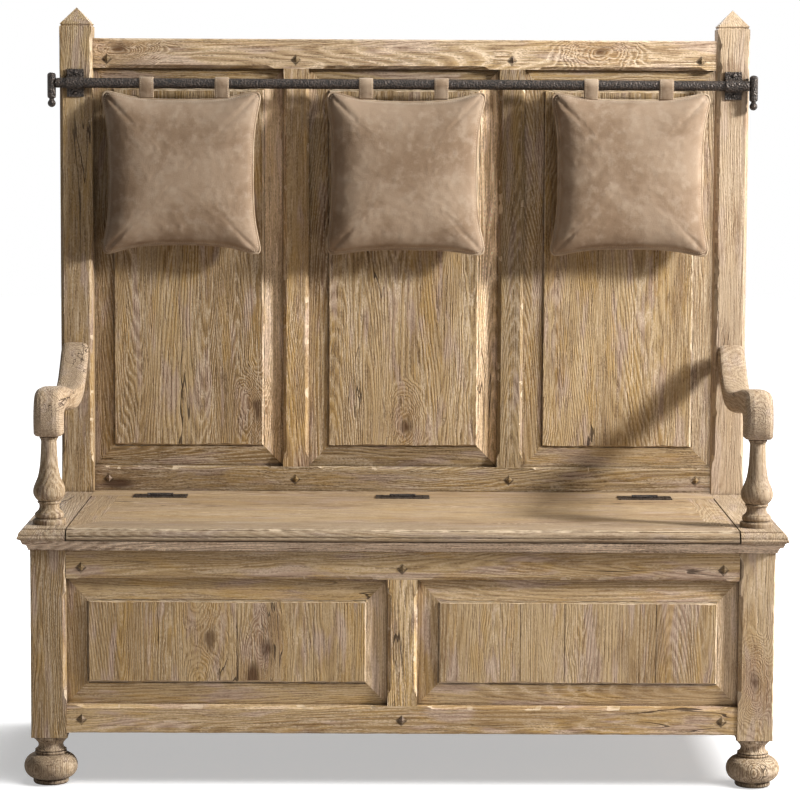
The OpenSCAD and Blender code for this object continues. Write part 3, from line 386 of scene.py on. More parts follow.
    # the board's tone, with painted light and shade in it, worn arrises, and dirt mixed with
    # painted shade in corners, grooves and round the pegs
    tone = vmaths("MULTIPLY", tone, given["Tone"])
    uneven = noise_at(place, 45.0, 120.0, 2.0, 0.6)
    wear = times(given["Wear"], step(uneven, 0.3, 0.6))
    dirt = times(given["Dirt"], step(uneven, 0.2, 0.55))
    tone = coat(tone, wear, 0.8, (218, 198, 170))
    tone = coat(tone, dirt, 0.85, (58, 42, 28))

    layers = ((pit, -0.7), (late, 0.4), (lime, -0.3), (crack, -1.8), (core, -0.6),
              (uneven, 0.5), (stain, 0.6), (gaps, 0.5))
    height = plus(*(times(layer, amount) for layer, amount in layers))
    plug(tone, out["Color"])
    plug(step(fibre, 0.25, 0.75, 0.74, 0.6), out["Roughness"])
    plug(times(height, strength), out["Height"])
    return tree


OAK = limed_oak_group()


def oak(name, turn, seed, tone, figure, grey, knots, pegs, outer):
    """An oak finish whose grain runs along x after turning by turn."""
    material, tree = new_material(name)
    place = node(tree, "ShaderNodeTexCoord").outputs
    mapping = node(tree, "ShaderNodeMapping", {"Vector": place["Object"], "Rotation": turn},
                   vector_type="TEXTURE")
    worn, hollow = (node(tree, "ShaderNodeAttribute", attribute_name=label).outputs["Fac"]
                    for label in ("wear", "dirt"))
    # painted shade: ambient occlusion darkens the wood in corners, creases and between parts, where
    # shade falls
    near = node(tree, "ShaderNodeAmbientOcclusion", {"Distance": 0.014}, samples=4)
    closed = step(near.outputs["AO"], 0.86, 0.4)
    dirt = maths("MAXIMUM", times(closed, 0.8), hollow)
    # painted shadow: a dark square ring round each peg, set a little down and to the left, where
    # the peg's shade falls
    for x, y, z in pegs:
        apart = vmaths("SUBTRACT", place["Object"], (x - 0.0015, y, z - 0.0015))
        apart = vmaths("ABSOLUTE", apart)
        ring = vmaths("DOT_PRODUCT", apart, (1.0, 0.8, 1.0)).node.outputs["Value"]
        dirt = maths("MAXIMUM", dirt, step(ring, 0.0125, 0.009))
    # painted shade: a face that looks to the right, into the strong side light, is made darker by
    # the factor outer
    if outer != 1.0:
        facing = node(tree, "ShaderNodeSeparateXYZ", {"Vector": place["Normal"]}).outputs[0]
        tone = step(facing, 0.6, 0.9, tone, tone * outer)
    spots = {label: (z, 0.0, -x) if turn == ALONG_Z else (x, 0.0, z)
             for label, (x, z) in zip(("Knot", "Second Knot"), knots)}
    grain = node(tree, "ShaderNodeGroup", {
        "Vector": mapping.outputs[0], "Seed": seed, "Tone": tone, "Figure": figure,
        "Grey": grey, "Wear": worn, "Dirt": dirt, **spots}, node_tree=OAK).outputs
    surface(tree, {
        "Base Color": grain["Color"], "Roughness": grain["Roughness"],
        "Specular IOR Level": 0.25}, 0.8, grain["Height"], 0.0012)
    return material


ALONG_X = (0.0, 0.0, 0.0)
ALONG_Y = (0.0, 0.0, math.pi / 2)
ALONG_Z = (0.0, -math.pi / 2, 0.0)

# for each board: how light it is (partly its own tone, partly painted light and shade that
# matches how light falls on it), how strongly its grain is drawn, how far it has gone grey,
# and how much painted shade darkens its face that looks to the right, into the strong light
PLAIN = (1, 1, 0, 1)
BOARDS = {
    ALONG_X: {
        "front_top_rail": (1.08, 0.68, 0, 1), "front_bottom_rail": (1.24, 0.68, 0, 1),
        "back_top_rail": (1.4, 0.9, 0.5, 1), "back_seat_rail": (0.71, 1, 0, 1),
        "back_bottom_rail": PLAIN, "front_moulding": (1.8, 1, 1.5, 1),
        "seat_rear_strip": (1, 0.6, 0.5, 1), "lid_panel": (0.94, 0.6, 0.4, 1),
        "lid_front_rail": (0.87, 0.6, 0.8, 1), "floor_boards": PLAIN, "hinge_rail": PLAIN,
        "strip_cleat": PLAIN, "chest_back_board": PLAIN,
    },
    ALONG_Y: {
        "end_rails_left": PLAIN, "end_rails_right": (1, 1, 0, 0.55),
        "end_mouldings": (1.2, 1, 0.6, 0.55), "seat_end_left": (1, 0.65, 0.9, 1),
        "seat_end_right": (1, 0.65, 0.9, 0.6), "lid_end_left": (0.97, 0.6, 0.5, 1),
        "lid_end_right": (0.97, 0.6, 0.5, 1), "lid_battens": PLAIN, "floor_cleats": PLAIN,
        "arm_left": (1.18, 0.6, 1, 1), "arm_right": (1.03, 0.6, 1, 0.65),
    },
    ALONG_Z: {
        "front_post_left": (0.87, 0.65, 0, 1), "front_post_right": (1.08, 0.6, 0.5, 0.55),
        "front_muntin": (1.22, 1, 0, 1), "front_panel_left": (1.05, 0.62, 0, 1),
        "front_panel_right": (1.07, 0.6, 0.15, 1), "end_panel_left": PLAIN,
        "end_panel_right": (1, 1, 0, 0.55), "back_post_left": (0.9, 0.8, 0, 1),
        "back_post_right": (1.23, 0.55, 1, 0.5), "back_muntin_left": (1.18, 0.8, 0, 1),
        "back_muntin_right": (0.68, 0.8, 0, 1), "back_panel_left": (0.87, 0.9, 0, 1),
        "back_panel_centre": (0.93, 0.9, 0, 1), "back_panel_right": (0.97, 0.8, 0, 1),
        "baluster_left": (0.86, 0.8, 0.6, 1), "baluster_right": (0.85, 0.7, 0.9, 1),
        "front_feet": (0.96, 1, 0.8, 1), "rear_feet": PLAIN, "oak_pegs": (0.55, 0.4, 0, 1),
    },
}
# how much lighter or darker the left, right and level bevels of a panel are painted than its field:
# painted light and shade, with most right bevels, which face the strong light, painted lighter
BEVEL_PAINTED_LIGHT = {
    "back_panel_left": (0.88, 1.95, 0.93), "back_panel_centre": (1.06, 2.1, 0.73),
    "back_panel_right": (1.0, 0.96, 0.92), "front_panel_left": (1.05, 1.45, 1.05),
    "front_panel_right": (1.1, 1.5, 1.12),
}
# the boards' knots, as (x, z); the back centre panel's one is painted shade of a dent, drawn as a
# dark knot
KNOTS = {
    "back_top_rail": ((-0.566, 1.377), (0.392, 1.374)),
    "back_panel_left": ((-0.296, 0.652),),
    "back_panel_centre": ((0.008, 0.618),),
    "front_panel_left": ((-0.358, 0.276), (-0.255, 0.262)),
    "front_post_right": ((0.655, 0.20),),
}


def peg_places():
    """The middles of the square pegs, as (x, z)."""
    apart = 0.03
    heaps = []
    for vertex in nodes["oak_pegs"].data.vertices:
        x, z = vertex.co.x, vertex.co.z
        near = [h for h in heaps if abs(h[0][0] - x) < apart and abs(h[0][1] - z) < apart]
        if near:
            near[0].append((x, z))
        else:
            heaps.append([(x, z)])
    return [[(min(side) + max(side)) / 2 for side in zip(*heap)] for heap in heaps]


def pegs_on(name):
    """The middles of the pegs in a rail's front face."""
    if "_rail" not in name or name.startswith(("end", "lid", "back_bottom", "hinge")):
        return ()
    low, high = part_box(name)
    return [(x, low.y, z) for x, z in peg_places()
            if low.x < x < high.x and low.z < z < high.z]


def board_finish(kind, name, turn, seed, look, share=1.0, more_grey=0.0):
    tone, figure, grey, right_face_shade = look
    return oak(kind + name, turn, seed, tone * share, figure, grey + more_grey,
               KNOTS.get(name, ()), pegs_on(name), right_face_shade)


def dress(mesh, *finishes):
    """Gives a mesh these finishes in the place of its own."""
    mesh.materials.clear()
    for finish in finishes:
        mesh.materials.append(finish)


def dress_oak():
    seed = 1.0
    for turn, boards in BOARDS.items():
        for name, look in boards.items():
            seed += 1.37
            dress(nodes[name].data, board_finish("oak_", name, turn, seed, look))


# ---- iron


def forged_iron():
    material, tree = new_material("forged_iron")
    place = object_place(tree)
    dents = node(tree, "ShaderNodeTexVoronoi", {
        "Vector": place, "Scale": 290.0, "Smoothness": 0.5},
        feature="SMOOTH_F1").outputs["Distance"]
    scale = noise_at(place, 600.0, detail=3.0, roughness=0.6)
    patches = noise_at(place, 40.0, detail=3.0, roughness=0.6)
    colour = blend_colours(step(patches, 0.35, 0.7), srgb(24, 20, 18), srgb(44, 37, 33))
    # pale ridges between the hammer dents: partly burnished iron, partly painted glints
    colour = coat(colour, step(dents, 0.3, 0.75), 0.5, (92, 80, 71))
    surface(tree, {
        "Base Color": colour, "Metallic": 0.45,
        "Roughness": step(scale, 0.3, 0.7, 0.56, 0.36),
    }, 0.9, plus(dents, times(scale, 0.35)), 0.002)
    return material


IRON_NODES = (
    "hinge_fixed_leaves", "hinge_lid_leaves", "hinge_pins", "hinge_fixed_screws",
    "hinge_lid_screws", "rod", "rod_tees", "rod_straps", "strap_screws",
)


def dress_iron():
    iron = forged_iron()
    for name in IRON_NODES:
        dress(nodes[name].data, iron)


# ---- leather


def nubuck(name, dark, mid, pale, clouds=9.0):
    """Brushed leather in three shades; clouds says how many patches there are to a metre."""
    material, tree = new_material(name)
    place = object_place(tree)
    cloud = noise_at(place, clouds, detail=4.0, roughness=0.55, distortion=0.5)
    small = noise_at(place, 45.0, detail=4.0, roughness=0.6)
    nap = noise_at(place, 900.0, roughness=0.6)
    pores = node(tree, "ShaderNodeTexVoronoi", {"Vector": place, "Scale": 520.0})
    pores = pores.outputs["Distance"]
    colour = blend_colours(step(cloud, 0.36, 0.62), srgb(*dark), srgb(*mid))
    colour = coat(colour, step(small, 0.45, 0.7), 0.35, pale)
    colour = coat(colour, step(nap, 0.35, 0.65), 0.14, pale)
    surface(tree, {
        "Base Color": colour, "Roughness": step(small, 0.3, 0.7, 0.78, 0.66),
        "Specular IOR Level": 0.2, "Sheen Weight": 0.35, "Sheen Roughness": 0.45,
        "Sheen Tint": srgb(235, 222, 205),
    }, 0.35, plus(times(nap, 0.5), pores, times(small, 0.8)), 0.0006)
    return material


def linen(name, colour):
    material, tree = new_material(name)
    fuzz = noise_at(object_place(tree), 1500.0, roughness=0.6)
    tone = blend_colours(step(fuzz, 0.3, 0.7), srgb(*colour), srgb(214, 200, 180))
    surface(tree, {"Base Color": tone, "Roughness": 0.7, "Specular IOR Level": 0.25})
    return material


# ---- helpers for meshes


def show(name, data):
    """A new object in the scene."""
    obj = bpy.data.objects.new(name, data)
    bpy.context.scene.collection.objects.link(obj)
    return obj


def place_mesh(name, points, faces, edges=()):
    mesh = bpy.data.meshes.new(name)
    mesh.from_pydata([tuple(p) for p in points], list(edges), faces)
    return show(name, mesh)


def drop(obj):
    mesh = obj.data
    bpy.data.objects.remove(obj)
    bpy.data.meshes.remove(mesh)


def face_outwards(mesh):
    work = bmesh.new()
    work.from_mesh(mesh)
    bmesh.ops.recalc_face_normals(work, faces=work.faces)
    work.to_mesh(mesh)
    work.free()


def make_plain(obj):
    """Turns what an object's modifiers make into its plain mesh."""
    rough = obj.data
    depsgraph = bpy.context.evaluated_depsgraph_get()
    plain = bpy.data.meshes.new_from_object(obj.evaluated_get(depsgraph))
    obj.modifiers.clear()
    obj.data = plain
    bpy.data.meshes.remove(rough)
    plain.name = obj.name
    return plain


def new_piece(name, points, faces, body, material, slot_name):
    obj = place_mesh(name, points, faces)
    face_outwards(obj.data)
    obj.data.shade_smooth()
    obj.data.materials.append(material)
    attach(obj, body)
    return obj


# ---- cushions


def pillow_outline(half_w, half_h, pinch):
    """A closed row of points from the lower left corner on, with waisted sides and round ears."""
    t = np.linspace(-1.0, 1.0, 201)[:-1]
    dip = 1 - np.abs(t) ** 3.6
    left, right, top, bottom = pinch
    ring = np.concatenate([
        np.stack([t * half_w, bottom * dip - half_h], axis=1),
        np.stack([half_w - right * dip, t * half_h], axis=1),
        np.stack([-t * half_w, half_h - top * dip], axis=1),
        np.stack([left * dip - half_w, -t * half_h], axis=1),
    ])
    for _ in range(3):
        ring = sum(np.roll(ring, k, axis=0) for k in range(-15, 16)) / 31
    return ring


def pillow_grid(half_w, half_h, pinch, n, seed):
    """Cut shape of a pillow's two sheets, as arrays [row, column, xyz] around the middle."""
    rng = np.random.default_rng(seed)
    ring = pillow_outline(half_w, half_h, pinch)
    ring = np.concatenate([ring, ring[:1]])
    t = np.linspace(-1.0, 1.0, n + 1)
    u, v = np.meshgrid(t, t)
    reach = np.maximum(np.abs(u), np.abs(v))
    safe = np.maximum(reach, 1e-9)
    a, b = u / safe, v / safe
    spot = np.select(
        [b <= -1 + 1e-9, a >= 1 - 1e-9, b >= 1 - 1e-9],
        [(a + 1) * 100, 300 + b * 100, 500 - a * 100], 700 - b * 100)
    x = reach * np.interp(spot, np.arange(len(ring)), ring[:, 0])
    z = reach * np.interp(spot, np.arange(len(ring)), ring[:, 1])
    crown = ((1 - np.abs(u) ** 5.5) * (1 - np.abs(v) ** 5.5)) ** 0.5
    rough = rng.normal(0.0, 0.0002, crown.shape) * (crown > 0)
    sag = (1 - 0.2 * u) * (1 - 0.14 * v)
    front = np.stack([x, -0.030 * crown * sag + rough, z], axis=-1)
    back = np.stack([x, 0.024 * crown + rough, z], axis=-1)
    return front, back


def two_sheets(front, back):
    """Points and faces of one closed skin from two grids that share their border."""
    rows, columns = front.shape[:2]
    inside = np.zeros((rows, columns), bool)
    inside[1:-1, 1:-1] = True
    front_id = np.arange(rows * columns).reshape(rows, columns)
    back_id = front_id.copy()
    back_id[inside] = rows * columns + np.arange(inside.sum())
    points = np.concatenate([front.reshape(-1, 3), back[inside]])
    faces = []
    for ids, turned in ((front_id, False), (back_id, True)):
        a, b, c, d = ids[:-1, :-1], ids[:-1, 1:], ids[1:, 1:], ids[1:, :-1]
        quads = np.stack([a, d, c, b] if turned else [a, b, c, d], axis=-1).reshape(-1, 4)
        faces += quads.tolist()
    return points.tolist(), faces, front_id, back_id


def finer(grid):
    """Doubles a grid's rows and columns along smooth curves."""
    for axis in (0, 1):
        g = np.moveaxis(grid, axis, 0)
        ends = np.concatenate([2 * g[:1] - g[1:2], g, 2 * g[-1:] - g[-2:-1]])
        middle = (9 * (ends[1:-2] + ends[2:-1]) - ends[:-3] - ends[3:]) / 16
        out = np.empty((2 * g.shape[0] - 1,) + g.shape[1:])
        out[0::2], out[1::2] = g, middle
        grid = np.moveaxis(out, 0, axis)
    return grid


CLOTH = {
    "vertex_group_mass": "seam", "quality": 6, "mass": 0.3, "tension_stiffness": 25,
    "compression_stiffness": 25, "shear_stiffness": 12, "bending_stiffness": 12.0,
    "air_damping": 4, "use_pressure": True,
}


def capped(start, end, cap=0.005):
    """Where each point gets to on its way from start to end, if it may go as far as cap."""
    move = end - start
    length = np.linalg.norm(move, axis=-1, keepdims=True)
    return start + move * np.minimum(1.0, cap / np.maximum(length, 1e-9))


def blow_up(pillows, frames=22):
    """Runs Cloth on all pillows at once and returns each one's two grids."""
    scene = bpy.context.scene
    made = []
    for name, front, back, pressure in pillows:
        points, faces, front_id, back_id = two_sheets(front, back)
        obj = place_mesh(name + "_cloth", points, faces)
        seam = front_id[front_id == back_id].tolist()
        obj.vertex_groups.new(name="seam").add(seam, 1.0, "REPLACE")
        cloth = obj.modifiers.new("stuffing", "CLOTH")
        for key, value in CLOTH.items():
            setattr(cloth.settings, key, value)
        cloth.settings.uniform_pressure_force = pressure
        cloth.settings.effector_weights.gravity = 0.0
        cloth.collision_settings.use_collision = False
        cloth.point_cache.frame_start, cloth.point_cache.frame_end = 1, frames
        made.append((obj, (front, front_id), (back, back_id)))
    for frame_number in range(1, frames + 1):
        scene.frame_set(frame_number)
    depsgraph = bpy.context.evaluated_depsgraph_get()
    grids = []
    for obj, *sheets in made:
        swollen = obj.evaluated_get(depsgraph).to_mesh()
        points = np.empty(len(swollen.vertices) * 3)
        swollen.vertices.foreach_get("co", points)
        points = points.reshape(-1, 3)
        grids.append([capped(start, points[ids]) for start, ids in sheets])
    scene.frame_set(1)
    for obj, *_ in made:
        drop(obj)
    return grids


def fit_pillow(front, back, low, high):
    """Moves and scales a blown-up pillow into the room of its solid."""
    everything = np.stack([front, back]).reshape(-1, 3)
    least, most = everything.min(axis=0), everything.max(axis=0)
    centre = (np.array(low) + np.array(high)) / 2
    half = (np.array(high) - np.array(low)) / 2
    for grid, deepest in ((front, least[1]), (back, most[1])):
        for axis in (0, 2):
            share = (grid[..., axis] - least[axis]) / (most[axis] - least[axis])
            grid[..., axis] = centre[axis] + (2 * share - 1) * half[axis]
        grid[..., 1] = centre[1] + grid[..., 1] / abs(deepest) * half[1]
    return front, back


def border_of(grid, ring=0):
    """The closed row of points that lies ring steps inside a grid's border."""
    g = grid[ring:grid.shape[0] - ring, ring:grid.shape[1] - ring]
    return np.concatenate([g[0, :-1], g[:-1, -1], g[-1, :0:-1], g[:0:-1, 0]])


def tube(points, radius, sides=8):
    """Points and faces of a closed tube along a closed row of points."""
    p = np.asarray(points)
    along = np.roll(p, -1, axis=0) - np.roll(p, 1, axis=0)
    along /= np.linalg.norm(along, axis=1, keepdims=True)
    side = np.cross(along, np.array([0.0, 1.0, 0.0]))
    side /= np.linalg.norm(side, axis=1, keepdims=True)
    up = np.cross(side, along)
    angles = [2 * math.pi * k / sides for k in range(sides)]
    rings = np.stack([p + radius * (math.cos(a) * side + math.sin(a) * up) for a in angles], axis=1)
    faces = []
    for i in range(len(p)):
        a, b = i * sides, (i + 1) % len(p) * sides
        for k in range(sides):
            m = (k + 1) % sides
            faces.append((a + k, b + k, b + m, a + m))
    return rings.reshape(-1, 3).tolist(), faces


def stitch_maker():
    """Geometry Nodes: even stitches along every edge path of the mesh that carries it."""
    tree, given, out = new_group(
        "stitches", "GeometryNodeTree",
        [("Path", SHAPE), ("Pitch", FLOAT), ("Length", FLOAT), ("Thickness", FLOAT),
         ("Thread", STUFF)], [("Geometry", SHAPE)])
    path = node(tree, "GeometryNodeMeshToCurve", {"Mesh": given["Path"]}).outputs[0]
    even = node(tree, "GeometryNodeResampleCurve", {"Curve": path, "Length": given["Pitch"]},
                mode="LENGTH").outputs[0]
    spots = node(tree, "GeometryNodeCurveToPoints", {"Curve": even}, mode="EVALUATED").outputs
    bead = node(tree, "GeometryNodeMeshUVSphere", {"Segments": 6, "Rings": 5})
    size = node(tree, "ShaderNodeCombineXYZ", {
        "X": times(given["Length"], 0.5), "Y": given["Thickness"], "Z": given["Thickness"]})
    shaped = node(tree, "GeometryNodeTransform", {
        "Geometry": bead.outputs["Mesh"], "Scale": size.outputs[0]})
    turn = node(tree, "FunctionNodeAlignRotationToVector", {"Vector": spots["Tangent"]}, axis="X")
    placed = node(tree, "GeometryNodeInstanceOnPoints", {
        "Points": spots["Points"], "Instance": shaped.outputs[0], "Rotation": turn.outputs[0]})
    real = node(tree, "GeometryNodeRealizeInstances", {"Geometry": placed.outputs[0]})
    smooth = node(tree, "GeometryNodeSetShadeSmooth", {"Geometry": real.outputs[0]})
    dyed = node(tree, "GeometryNodeSetMaterial", {
        "Geometry": smooth.outputs[0], "Material": given["Thread"]})
    plug(dyed.outputs[0], out["Geometry"])
    return tree


def sew(name, paths, closed, body, thread, pitch=0.0048, length=0.0031,
        thickness=0.0006):
    """Stitches along paths (lists of points), made into one plain mesh."""
    points, edges = [], []
    for path in paths:
        first = len(points)
        points += list(path)
        last = len(points) - 1
        edges += [(i, i + 1) for i in range(first, last)]
        if closed:
            edges.append((last, first))
    obj = place_mesh(name, points, [], edges)
    modifier = obj.modifiers.new("stitches", "NODES")
    modifier.node_group = STITCHES
    values = {"Pitch": pitch, "Length": length, "Thickness": thickness, "Thread": thread}
    for socket in STITCHES.interface.items_tree:
        if socket.name in values:
            modifier[socket.identifier] = values[socket.name]
    make_plain(obj)
    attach(obj, body)


# how far each cushion's left, right, upper and lower side is drawn in
WAISTS = {
    "left": (0.023, 0.025, 0.027, 0.030), "centre": (0.018, 0.027, 0.030, 0.019),
    "right": (0.024, 0.024, 0.023, 0.024),
}
# how hard each is stuffed
STUFFING = {"left": 1.2, "centre": 1.5, "right": 1.3}


def make_cushions(hide, welt_hide, thread):
    squares, spare = 40, Vector((0.0005, 0.0, 0.0015))
    welt, margin, sunk = 0.0021, 0.14, 0.0003
    pillows = []
    for i, side in enumerate(SIDES):
        low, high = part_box("cushion_" + side)
        half = (high - low) / 2
        front, back = pillow_grid(half.x, half.z, WAISTS[side], squares, 40 + i)
        pillows.append(("cushion_" + side, front, back, STUFFING[side]))
    grids = blow_up(pillows)
    for side, (front, back) in zip(SIDES, grids):
        body = "cushion_" + side
        low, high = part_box(body)
        front, back = fit_pillow(finer(front), finer(back), low - spare, high + spare)
        points, faces, *_ = two_sheets(front, back)
        cover = new_piece(body + "_cover", points, faces, body, hide, "cushion_leather")
        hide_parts(body)
        new_piece(body + "_piping", *tube(border_of(front), welt), body, welt_hide,
                  "cushion_leather")
        near, far = border_of(front, 1), border_of(front, 2)
        beside = np.linspace(0, len(far) - 1, len(near)).astype(int)
        line = near * (1 - margin) + far[beside] * margin - np.array([0.0, sunk, 0.0])
        sew(body + "_stitches", [line], True, body, thread)


def loop_path(radius, drop, tail):
    """Middle line of a loop in the (y, z) plane about the rod, down the front and back."""
    turn = math.acos(radius / math.hypot(drop, tail)) + math.atan2(tail, drop)
    end, touch = (-tail, -drop), (-radius * math.sin(turn), -radius * math.cos(turn))
    front = [tuple(a + (b - a) * k / 8 for a, b in zip(end, touch)) for k in range(9)]
    bend = []
    for k in range(1, 24):
        angle = turn + (2 * math.pi - 2 * turn) * k / 24
        bend.append((-radius * math.sin(angle), -radius * math.cos(angle)))
    return front + bend + [(-y, z) for y, z in reversed(front)]


def strap_section(x0, x1):
    """Section of a strap with eased corners: x, and the share of the thickness."""
    corner, edge = 0.0002, 0.0006
    half = [(x0, -0.22), (x0 + corner, -0.42), (x0 + edge, -0.5),
            (x1 - edge, -0.5), (x1 - corner, -0.42), (x1, -0.22)]
    return half + [(x, -share) for x, share in reversed(half)]


def make_loops(strap, cut_edge, thread):
    width, thick, bend, seam = 0.028, 0.0022, 0.0114, 0.0032
    rod_below_top, sewn_in, slack = 0.0125, 0.0015, 0.0001
    rod_low, rod_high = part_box("rod")
    y_rod = (rod_low.y + rod_high.y) / 2
    for side in SIDES:
        name = "loops_" + side
        low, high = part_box(name)
        z_rod = high.z - rod_below_top
        path = np.array(loop_path(bend, z_rod - low.z + sewn_in, thick / 2 + slack))
        along = np.gradient(path, axis=0)
        along /= np.linalg.norm(along, axis=1, keepdims=True)
        outward = np.stack([-along[:, 1], along[:, 0]], axis=1)

        def row(x, share):
            """Points along the strap, a share of its thickness away from its middle."""
            return [(x, y_rod + y, z_rod + z) for y, z in path + outward * share * thick]

        points, faces, rims, lines = [], [], [], []
        xs = sorted({round(v.co.x, 5) for v in nodes[name].data.vertices})
        for x0, x1 in ((xs[0], xs[0] + width), (xs[-1] - width, xs[-1])):
            section = strap_section(x0, x1)
            m, first = len(section), len(points)
            for ring in zip(*(row(x, share) for x, share in section)):
                points += ring
            for a in range(first, len(points) - m, m):
                for k in range(m):
                    j = (k + 1) % m
                    faces.append((a + k, a + j, a + m + j, a + m + k))
                    rims.append(k in (0, 4, 5, 6, 10, 11))
            faces += [tuple(range(first, first + m)), tuple(range(len(points) - m, len(points)))]
            rims += [True, True]
            for x in (x0 + seam, x1 - seam):
                both_faces = (row(x, share)[1:24] for share in (-0.5, 0.5))
                lines.append(min(both_faces, key=lambda line: min(p[1] for p in line)))
        obj = new_piece(name + "_strap", points, faces, name, strap, "loop_leather")
        obj.data.materials.append(cut_edge)
        obj.data.polygons.foreach_set("material_index", [int(rim) for rim in rims])
        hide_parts(name)
        sew(name + "_stitches", lines, False, name, thread,
            0.0042, 0.0028, 0.0005)


# ---- hand-cut arrises


RIGHT, LEFT, BACK, FRONT, UP, DOWN = (
    (1, 0, 0), (-1, 0, 0), (0, 1, 0), (0, -1, 0), (0, 0, 1), (0, 0, -1))


def upright(x, y, z0, z1):
    """The two ends of an upright line."""
    return (x, y, z0), (x, y, z1)


def level(x0, x1, y, z):
    """The two ends of a level line."""
    return (x0, y, z), (x1, y, z)


def wandering(length, seed, spacing, ripple):
    """Places along an arris and how much deeper or shallower each is cut."""
    count = max(3, int(round(length / spacing)))
    spots = []
    for k in range(count + 1):
        s = length * k / count
        long_wave = noise.noise(Vector((s / 0.055, seed * 7.3, 0.0)))
        short_wave = noise.noise(Vector((s / 0.014, seed * 3.1, 5.0)))
        spots.append((s, 1.0 + ripple * (0.85 * long_wave + 0.75 * short_wave)))
    return spots


def three_sided_bar(rings):
    """Points and faces of a closed bar through rings of three points."""
    last = 3 * (len(rings) - 1)
    faces = [(0, 1, 2), (last + 2, last + 1, last)]
    for i in range(0, last, 3):
        for k in range(3):
            m = (k + 1) % 3
            faces.append((i + k, i + 3 + k, i + 3 + m))
            faces.append((i + k, i + 3 + m, i + m))
    return [p for ring in rings for p in ring], faces


def arris(start, end, into_a, into_b, width, seed, ripple=0.5, stop=0.018, spacing=0.0045,
          least=0.0):
    """One cut along an arris, in millimetres: the wedge outside a chamfer of wandering width."""
    start, end = Vector(start) * MM, Vector(end) * MM
    a, b = Vector(into_a), Vector(into_b)
    run = end - start
    length = run.length
    along = run / length
    margin, clear, outside, hair = 0.004, 0.0004, 0.006, 0.0002
    rings = []
    for s, share in wandering(length, seed, spacing, ripple):
        ease = 1.0 if stop <= 0 else min(1.0, max(0.0, min(s, length - s) / stop))
        ease = ease * ease * (3 - 2 * ease)
        w = max(width * MM * share, least * MM) * ease - clear * (1 - ease)
        skew = 1.0 + 0.25 * noise.noise(Vector((s / 0.03, seed, 9.0)))
        wa, wb = w * skew, w / skew
        if w <= hair:
            wa = wb = -clear
            across = (a - b).normalized()
        else:
            across = (a * wa - b * wb).normalized()
        here = start + along * s
        rings.append((here + a * wa + across * margin, here + b * wb - across * margin,
                      here - (a + b) * outside))
    return three_sided_bar(rings)


def quirk(start, end, outward, width, depth, seed, spacing=0.004):
    """A ragged V groove in a board's front; outward points over the bevel beside a field."""
    start, end = Vector(start) * MM, Vector(end) * MM
    out, deep = Vector(outward), Vector(BACK)
    run = end - start
    along = run / run.length
    above, lean, chips = 0.002, 0.0006, 0.0022
    rings = []
    for s, share in wandering(run.length, seed, spacing, 0.7):
        here = start + along * s
        chip = max(0.0, noise.noise(Vector((s / 0.009, seed, 2.0)))) * chips
        rings.append((here - deep * above + out * width * MM * share,
                      here - deep * above - out * chip, here + deep * (depth * MM) + out * lean))
    return three_sided_bar(rings)


def add_cutter(obj, cuts, mark):
    """A boolean that takes several cuts off an object and marks the faces they leave."""
    points, faces = [], []
    for more_points, more_faces in cuts:
        first = len(points)
        points += more_points
        faces += [tuple(first + k for k in face) for face in more_faces]
    cutter = place_mesh("cutter", points, faces)
    face_outwards(cutter.data)
    cutter.data.materials.append(mark)
    boolean = obj.modifiers.new("cut", "BOOLEAN")
    boolean.solver = "EXACT"
    boolean.material_mode = "TRANSFER"
    boolean.object = cutter
    return cutter


def cut_board(name, passes, bevels=(), dark_passes=()):
    """A copy of a CAD board with its arrises cut; it takes the board's place."""
    material = nodes[name].data.materials[0]
    mesh = bpy.data.meshes.new(name + "_worn")
    work = bmesh.new()
    work.from_mesh(nodes[name].data)
    bmesh.ops.remove_doubles(work, verts=work.verts, dist=1e-6)
    bmesh.ops.dissolve_limit(
        work, angle_limit=math.radians(0.4), verts=work.verts, edges=work.edges)
    work.to_mesh(mesh)
    work.free()
    if "custom_normal" in mesh.attributes:
        mesh.attributes.remove(mesh.attributes["custom_normal"])
    dress(mesh, material)
    obj = show(name + "_worn", mesh)
    cutters = [add_cutter(obj, cuts, CUT_MARK) for cuts in passes]
    cutters += [add_cutter(obj, cuts, DARK_MARK) for cuts in dark_passes]
    cut = make_plain(obj)
    for cutter in cutters:
        drop(cutter)

    wear = cut.attributes.new("wear", "FLOAT", "FACE")
    dirt = cut.attributes.new("dirt", "FLOAT", "FACE")
    marks = [cut.materials[polygon.material_index] for polygon in cut.polygons]
    dress(cut, material, *bevels)
    for polygon, mark in zip(cut.polygons, marks):
        wear.data[polygon.index].value = 0.95 if mark == CUT_MARK else 0.0
        # the dark-marked faces are painted dark: painted shade in the grooves beside the fields and
        # in the lid's moulding, and dark joints between the chest's field boards
        dirt.data[polygon.index].value = 0.85 if mark == DARK_MARK else 0.0
        polygon.use_smooth = mark == CUT_MARK
        n = polygon.normal
        polygon.material_index = 0
        # painted light and shade: each bevel face takes the lighter or darker copy of the finish by
        # the way it faces
        if bevels and max(abs(n.x), abs(n.z)) > 0.08:
            is_upright = abs(n.x) > abs(n.z)
            polygon.material_index = (1 if n.x < 0 else 2) if is_upright else 3
    cut.set_sharp_from_angle(angle=math.radians(24))
    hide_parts(name)
    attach(obj, node_body[name])


def side_arrises(x0, x1, z0, z1, y, width, seeds, *cut):
    """Chamfers down both sides of a muntin or a raised field."""
    return [arris(*upright(x, y, z0, z1), into, BACK, width, seed, *cut)
            for x, into, seed in zip((x0, x1), (RIGHT, LEFT), seeds)]


